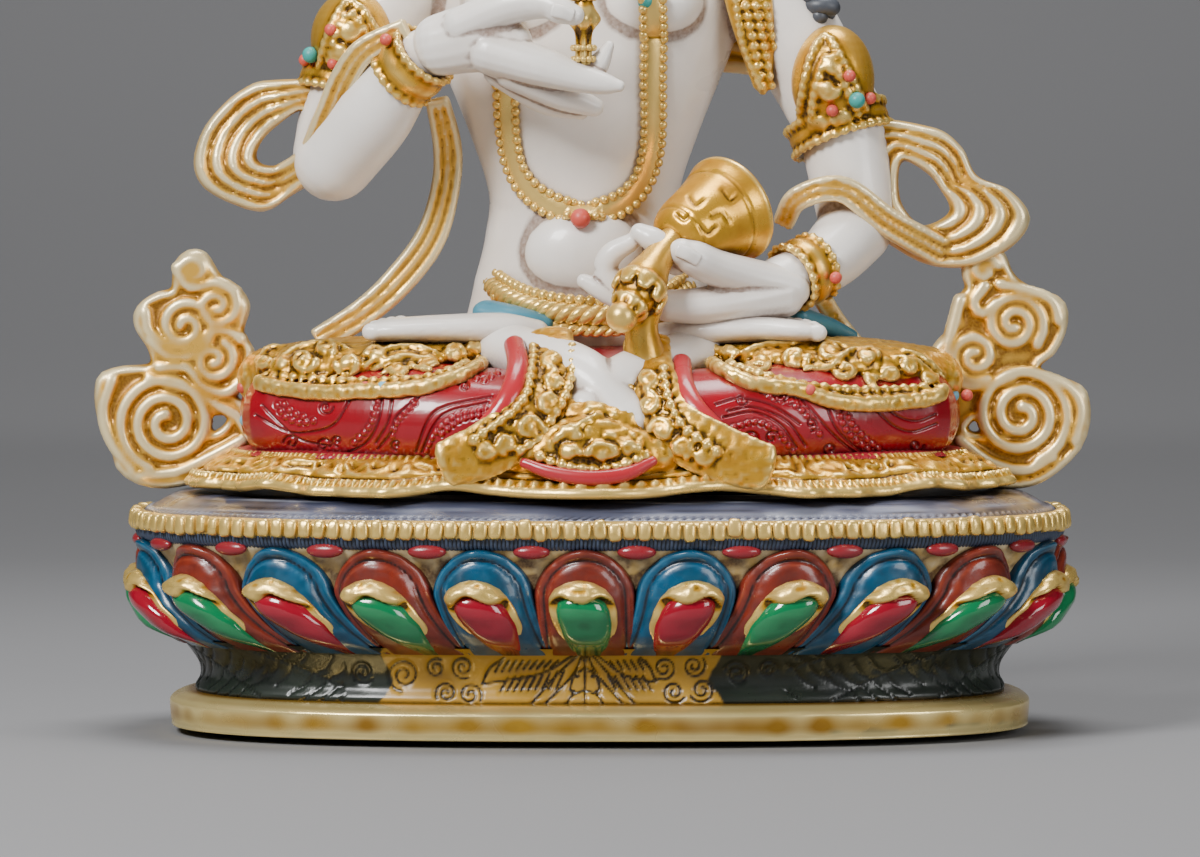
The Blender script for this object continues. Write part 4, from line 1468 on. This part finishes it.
def scarf():
    made = [ribbon_loop(LEFT_LOOP, LEFT_HOLE, 0, 4, 5.0), ribbon_loop(RIGHT_LOOP, RIGHT_HOLE, 1, 4, 5.0)]
    strips = [
        [[-30.6, -13.6, 112, 2, 1.4], [-37.6, -12, 108.6, 2.2, 1.4], [-41, -10, 104, 2.4, 1.4], [-43.8, -7.6, 97.6, 2.4, 1.4], [-47, -3, 91, 2.6, 1.4],
         [-52, 0, 87.6, 2.6, 1.6]],
        [[-26.4, 1, 101, 2, 1.6], [-24.8, 3.4, 93.2, 2.4, 1.5], [-25.2, 4, 86.4, 2.4, 1.5], [-27.6, 4, 78.5, 2.6, 1.5], [-32.6, 4, 71.7, 2.6, 1.5],
         [-38.4, 3, 66.4, 2.4, 1.5], [-46, 2, 61.6, 2.2, 1.5]],
        [[29.6, -3, 81, 1.8, 1.4], [32, -6.4, 85, 2, 1.4], [39, -7.6, 86.4, 2.2, 1.4], [46.6, -5, 81, 2.4, 1.4], [55, 0, 76.4, 2.6, 1.6]],
        [[35.4, -3.4, 69.6, 1.6, 1.3], [38.4, 0, 65, 1.6, 1.3], [42, 2, 60.6, 1.6, 1.3]],
    ]
    made += [ribbon(rows, 3) for rows in strips]
    made.append(ribbon([[-43, 5, 102, 3, 1.6], [-32, 13.6, 109, 4, 1.6], [-16, 18.2, 110, 4.4, 1.6], [MIDLINE, 20, 109, 4.4, 1.6],
                        [12, 18.2, 110, 4.4, 1.6], [29, 13.6, 108, 4, 1.6], [42, 6, 97, 3, 1.6]], 3, BACK))
    piece("scarf", fuse(made, 0.45, 2), CREAM_GOLD, scale=8, span=0.5)
    wedge = [bar([[21.4, -1.6, 129, 3.6, 1.8], [24.2, -2.8, 116, 3.8, 1.8], [26.4, -0.8, 103.6, 1.8, 1.4]], sides=20, face=FRONT)]
    ground = Ground(*wedge)
    made = list(wedge)
    made += bead_row(ground, [[736, 0], [742, 40], [756, 76], [768, 102]], 1.4, 0.7, 0.1) + bead_row(ground, [[782, 0], [780, 40], [776, 76], [771, 102]], 1.4, 0.7, 0.1)
    for k in range(9):
        for j in range(3):
            where, n = ground.hit(746 + 10 * j + 2 * k, 6 + 10 * k, 0.1)
            if where is not None:
                made.append(beads(where[None], 0.7, n[None], 0.8))
    piece("brocade_sash", fuse(made, 0.36, 2), GOLD, scale=6, span=0.4)


LEFT_SCROLL = [
    [-66, 39.4], [-72.1, 38.6], [-77.4, 40.6], [-78.7, 44.9], [-80.8, 48.6], [-81.3, 53.4], [-80.5, 56], [-76.1, 57.1], [-72.4, 57.4],
    [-72.8, 61], [-75, 64.5], [-74.4, 67.1], [-71.5, 69], [-68.6, 70], [-68.8, 73.4], [-66.6, 75.8], [-64, 75.2], [-62.6, 72.1], [-59.1, 69.8],
    [-57.5, 66.8], [-59, 63.6], [-57, 60.2], [-58.1, 56.6], [-60.6, 53.2], [-56.4, 50], [-55, 46], [-58, 41.4]]
LEFT_GAP = [[-67.6, 48.4], [-65, 46.2], [-61.9, 46.6], [-59.9, 48.6], [-60.8, 50.6], [-65, 49.8]]
RIGHT_SCROLL = [
    [58, 40], [66, 38.6], [70.4, 39.1], [74.1, 41.2], [78.3, 45.9], [78.8, 51.2], [77.8, 53.9], [73.5, 55.5], [70.8, 56.4], [71.2, 58.6],
    [73.8, 60.8], [75.3, 65.5], [74, 68.4], [69.2, 70], [66.4, 72.4], [65.2, 75.4], [62.9, 77], [60, 76], [59.6, 72.6], [60.2, 70], [58.4, 68],
    [58.7, 64.5], [56, 61.8], [54, 58.4], [54, 48]]
RIGHT_GAP = [[59.2, 46.8], [63.5, 46], [66.9, 47.5], [65.6, 49], [60.6, 50]]
SCARF_Y = 2.0
LEFT_RIDGES = [
    spiral(194, 271, 13, 1.3, 200, 1), spiral(217, 306, 24, 1.6, 250, 1), spiral(186, 326, 32, 1.8, 130, -1), spiral(214, 360, 22, 1.4, 300, 1),
    [[152, 339], [171, 357], [191, 351], [210, 333], [228, 331], [241, 339]], [[160, 367], [188, 367], [204, 386], [225, 393], [241, 383]],
    spiral(168, 422, 50, 2.4, 110, 1), [[112, 380], [104, 410], [112, 440], [134, 470]], [[140, 474], [176, 472], [212, 456], [242, 440]],
    [[150, 378], [190, 388], [214, 402], [236, 414], [246, 428]], [[178, 268], [190, 286], [214, 284], [236, 292]], [[146, 312], [150, 332], [170, 344], [190, 346]],
]
RIGHT_RIDGES = [
    spiral(984, 269, 13, 1.3, 340, -1), [[984, 286], [973, 303], [983, 313], [996, 303]], spiral(1013, 323, 31, 1.9, 40, -1), spiral(974, 356, 26, 1.6, 60, 1),
    spiral(1020, 414, 50, 2.4, 70, -1), [[1000, 284], [1022, 290], [1050, 300], [1058, 320]], [[1030, 372], [1066, 386], [1080, 408], [1074, 440]],
    [[960, 440], [990, 462], [1024, 470], [1052, 456]], [[948, 372], [964, 384], [990, 384], [1012, 376]], [[960, 300], [952, 330], [946, 354]],
]


def side_scrolls():
    for name, outline, gap, ridges in (("left_scroll", LEFT_SCROLL, LEFT_GAP, LEFT_RIDGES), ("right_scroll", RIGHT_SCROLL, RIGHT_GAP, RIGHT_RIDGES)):
        smooth = smooth_line(outline, 4, closed=True)
        hole = smooth_line(gap, 4, closed=True)
        made = [plate(smooth, SCARF_Y, 3.4, [hole])]
        for row in ridges:
            track, _ = even(smooth_line(row, 4), 6.0)
            line = np.array([at(u, v, SCARF_Y) for u, v in track[:, :2]])
            for y in (-1.6, 1.6):
                made.append(tube(line + [0, y, 0], 1.15, sides=10))
        for loop in (smooth, hole):
            edge = np.stack([loop[:, 0], np.full(len(loop), SCARF_Y), loop[:, 1]], axis=1)
            edge = edge[::3]
            made.append(bar([[*p, 0.9, 2.3] for p in edge], sides=10, steps=2, face=FRONT, closed=True))
        piece(name, fuse(made, 0.45, 3), CREAM_GOLD, scale=8, span=0.5)


def implements():
    half = [[0, -15], [1.1, -12.4], [1.2, -7.4], [2.4, -5], [1.4, -2], [2, 0]]
    other = [[r, -h] for r, h in half[:-1][::-1]]

    def prongs(h, a):
        return 1 + 0.16 * np.cos(a * 4) * np.clip((np.abs(h) - 3.4) / 1.6, 0, 1)

    made = [turned(half + other, [MIDLINE, -22.6, 118.4], [0, 0, 1], 40, 6, prongs)]
    for h in (-1.7, 1.7, -9.6, -11.4):
        made.append(beads(*[ring_of(np.array([MIDLINE, -22.6, 118.4 + h]), UP, 1.7, 12)[0]], 0.55, ring_of(np.zeros(3), UP, 1.7, 12)[1]))
    piece("vajra", joined(made), GOLD)
    crown_point = np.array([11.2, -21.6, 78])
    axis = unit(np.array([0.647, 0.67, 0.359]))
    profile = [[0.4, 0], [2.8, 0.1], [4.8, 1.4], [5.9, 3.6], [6.6, 7], [7.4, 10.4], [8.4, 13.4], [8.9, 14.6], [8.6, 15.2], [7.6, 15.0], [6.6, 12.8], [0.4, 12.2]]
    shape = turned(profile, crown_point, axis, 96, 8)
    points = shape[0]
    height = (points - crown_point) @ axis
    pixels = seen(points)
    squiggles = [[[688, 196], [696, 206], [704, 200]], [[712, 216], [722, 212], [730, 222]], [[700, 226], [708, 234], [716, 228]], [[722, 190], [730, 200], [738, 194]],
                 [[676, 214], [684, 220], [690, 214]]]
    line = np.clip(1 - near(pixels, squiggles) / 2.6, 0, 1) * (points[:, 1] < -12) * (height < 12.5)
    ringed = np.clip(1 - np.abs(height - 11.6) / 0.3, 0, 1) + np.clip(1 - np.abs(height - 2.2) / 0.3, 0, 1)
    ringed *= np.linalg.norm(points - crown_point - height[:, None] * axis, axis=1) > 4
    points -= normals_of(*shape) * (0.4 * np.maximum(line, ringed * 0.7))[:, None]
    piece("bell", shape, GOLD, cav=np.clip(0.54 - 0.4 * np.maximum(line, ringed * 0.6) + 0.3 * np.clip(1 - np.abs(height - 14.6) / 0.6, 0, 1), 0, 1))
    handle = [bar([[12, -20.8, 78.8, 2.4], [9, -24.6, 75.2, 2.6], [6.8, -27.6, 71.6, 3.8], [4.8, -30, 68.4, 2.9]], sides=24),
              ball([3.4, -32, 66.4], [2.5, 2.5, 2.5], 24, 16)]
    aim = unit(np.array([3.4, -32, 66.4]) - np.array([9, -24.6, 75.2]))
    for k in range(8):
        a = k * 2 * np.pi / 8
        u, v, _ = basis(aim)
        way = u * math.cos(a) + v * math.sin(a)
        root = np.array([7.4, -27, 72.2])
        handle.append(bar([[*(root + way * 1.8), 1.2, 0.6], [*(root + way * 3.8 + aim * 1.6), 1.7, 0.7], [*(root + way * 4.0 + aim * 4), 1.1, 0.5]], sides=12, face=way))
        tip = root + aim * 5.2
        handle.append(bar([[*(tip - way * 0.2), 0.9, 0.6], [*(tip + way * 2.6 + aim * 0.6), 1.1, 0.5], [*(tip + way * 2.2 + aim * 2.2), 0.6, 0.4]], sides=10, face=way))
    handle += rope(ring_of(np.array([4.6, -30.3, 68.2]), aim, 2.8, 40)[0], 0.5, 2.0, 2)
    handle.append(bar([[7.2, -26, 69, 3.2], [6.6, -26.4, 64.6, 2.6], [7, -25.6, 60, 3.4]], sides=18, face=FRONT))
    shape = fuse(handle, 0.33, 3)
    piece("bell_handle", shape, GOLD, scale=6, span=0.3)


def head_dress():
    x = MIDLINE
    skull = bar([[x, 9.4, 152, 6, 4], [x, 9, 160, 10, 7], [x, 6.4, 169.4, 12.2, 12.6], [x, 6.4, 176, 10.4, 11], [x, 6, 180.6, 5, 5.6]], sides=48, steps=8, face=BACK)
    knot = [[5.4, -2], [6.8, 0], [7, 5], [5, 9], [5.4, 12.5], [2.2, 18]]

    def strands(h, a):
        return 1 + 0.05 * np.abs(np.cos(a * 9 + h * 0.3))

    made = [skull, turned(knot, [x, 5, 179], [0, 0.02, 1], 72, 8, strands)]
    fall = [[x, 13, 172, 9.4, 5], [x, 14, 154, 8.8, 4.4], [x, 14.6, 138, 9.6, 3.6], [x, 17, 120, 6, 2.6]]
    made.append(bar(fall, sides=40, steps=8, face=BACK))
    for k in range(9):
        f = (k - 4) / 4.4
        made.append(bar([[x + f * 9, 15 + 2.6 * math.cos(f * 1.4), 172, 1.3], [x + f * 8.4, 16.4 + 2.2 * math.cos(f * 1.4), 154, 1.3],
                         [x + f * 9.2, 17 + 1.4 * math.cos(f * 1.4), 138, 1.2], [x + f * 5.6, 18.6 + 1 * math.cos(f * 1.4), 120, 0.9]], sides=12))
    shape = fuse(made, 0.5, 2)
    points = shape[0]
    lines = np.sin(np.arctan2(points[:, 0] - x, points[:, 1] - 4) * 44)
    points += normals_of(*shape) * (0.12 * lines)[:, None]
    piece("hair", shape, BLACK)
    braids = []
    for hand, end in ((1, [36.5, -0.6, 115]), (-1, [-38, -0.6, 121])):
        line = smooth_line([[x + hand * 9.4, 9, 153], [x + hand * 12.4, 7.6, 139.6], [x + hand * 26, 3.4, 132.8], end], 14)
        braids += rope(line, 2.7, 6.5, 3, FRONT, 12)
    piece("braids", joined(braids), BLACK)
    middle = np.array([x, 4.6, 171.4])
    ring, away = ring_of(middle, UP, 13.2, 60)
    made = [bar([[*p, 1.6, 0.9] for p in ring], sides=10, steps=2, face=UP, closed=True)]
    for z in (-1.3, 1.5):
        made.append(beads(ring + [0, 0, z] + away * 0.4, 0.72, away))
    for k in range(-2, 3):
        a = k * 2 * np.pi / 5
        out = np.array([math.sin(a), -math.cos(a), 0])
        side = np.array([math.cos(a), math.sin(a), 0])
        tall = 9 + 7 * (0.5 + 0.5 * math.cos(a))
        foot_point = middle + out * 13.3 + UP * 1.4
        leaf = [[*(foot_point), 4.4, 0.8], [*(foot_point + UP * tall * 0.35), 5.2, 0.9], [*(foot_point + UP * tall * 0.7 + out * 0.4), 3.2, 0.8],
                [*(foot_point + UP * tall + out * 0.2), 0.7, 0.5]]
        made.append(bar(leaf, sides=20, steps=6, face=out))
        for hand in (-1, 1):
            base = foot_point + UP * tall * 0.34 + side * hand * 2.6 + out * 0.9
            t = np.linspace(0, 1, 18)
            swirl = base + side * (hand * 1.9 * (1 - t * 0.8) * np.cos(t * 8))[:, None] + UP * (1.9 * (1 - t * 0.8) * np.sin(t * 8))[:, None]
            made.append(tube(swirl, 0.45, sides=8))
        made.append(beads((foot_point + UP * tall * 0.66 + out * 1.2)[None], 1.5, out[None], 0.7))
        made.append(beads((foot_point + UP * (tall + 0.6) + out * 0.3)[None], 0.9, out[None], 1.0))
    for hand in (-1, 1):
        base = np.array([x + hand * 13.2, 2.6, 168])
        way = unit(np.array([hand, -0.5, 0]))
        made.append(turned([[0.4, -2], [3.8, -1.6], [4.2, -0.4], [3.2, 0.8], [1.8, 1.0], [1.6, 1.9], [0.4, 2.2]], base, way, 40, 4, lambda h, a: 1 + 0.08 * np.cos(a * 10)))
        ring_points, normals = ring_of(base + way * 0.3, way, 3.6, 14)
        made.append(beads(ring_points, 0.6, way))
        ear, normals = ring_of(np.array([x + hand * 11, 2.2, 147.4]), SIDE * 0.4 + FRONT, [2.3, 3.4], 20)
        made.append(bar([[*p, 0.8] for p in ear], sides=10, steps=2, face=FRONT, closed=True))
        made.append(beads(np.array([[x + hand * 11, 1.6, 143.4]]), 1.5, FRONT))
    made.append(turned([[0.3, 17], [2.6, 17.6], [3.2, 19.4], [2.4, 21], [2.8, 22], [1.2, 24.6], [0.5, 27.4], [0.1, 28]], [x, 5.2, 179], [0, 0.02, 1], 40, 5))
    made.append(turned([[7.1, -1.4], [8, -0.4], [8, 0.8], [7, 1.8]], [x, 5, 179.6], [0, 0.02, 1], 48, 4))
    shape = fuse(made, 0.42, 2)
    piece("crown", shape, GOLD, scale=6, span=0.4)
    lids = []
    for hand in (-1, 1):
        lids.append(tube(smooth_line([[x + hand * 1.9, -9.0, 160.5], [x + hand * 4.3, -9.35, 159.9], [x + hand * 6.6, -8.2, 160.7]], 8), 0.2, sides=8))
        lids.append(tube(smooth_line([[x + hand * 1.9, -9.55, 164.9], [x + hand * 4.6, -9.15, 165.9], [x + hand * 7.8, -6.9, 164.7]], 8), 0.22, sides=8))
    piece("eye_lines", joined(lids), BLACK)
    lips = [bar([[x - 2.8, -10.0, 150.7, 0.3], [x - 1.2, -10.75, 151.2, 0.5], [x, -10.8, 150.95, 0.45], [x + 1.2, -10.75, 151.2, 0.5], [x + 2.8, -10.0, 150.7, 0.3]], sides=12, face=FRONT),
            bar([[x - 2.2, -10.0, 150.2, 0.3], [x, -10.5, 149.8, 0.6], [x + 2.2, -10.0, 150.2, 0.3]], sides=12, face=FRONT)]
    piece("lips", joined(lips), CRIMSON)


BEAD_PAINTS = {
    "left_knee": "CSC", "left_knee_end": "CSC", "left_knee_back": "CS", "right_knee": "CSC", "right_knee_end": "CSC", "right_knee_back": "SC",
    "right_armlet": "CTCC", "right_bracelet": "C", "left_armlet": "CTCC", "left_bracelet": "C", "necklace": "CT", "belt": "CT", "crown": "TCC",
}


def glued_beads():
    paints = {"C": (CORAL, "coral"), "S": (SKY, "sky_blue"), "T": (TURQUOISE, "turquoise")}
    for place, letters in BEAD_PAINTS.items():
        for k, letter in enumerate(letters, 1):
            name = f"{place}_bead_{k}"
            low, high = (np.array(corner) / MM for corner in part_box(name))
            radius = (high - low).mean() / 2
            shape = ball((low + high) / 2, radius, 28, 16)
            material, slot = paints[letter]
            piece(f"{name}_ball", shape, material, (name,))


def figure():
    skin()
    crimson()
    legs = [bar(THIGH, sides=32), bar(SHIN, sides=32), bar(mirror(THIGH), sides=32), bar(mirror(SHIN), sides=32)]
    knee_pads(legs)
    hem()
    lap()
    body_jewels()
    arm_jewels()
    scarf()
    side_scrolls()
    implements()
    head_dress()
    glued_beads()


camera()
studio()
pedestal()
figure()
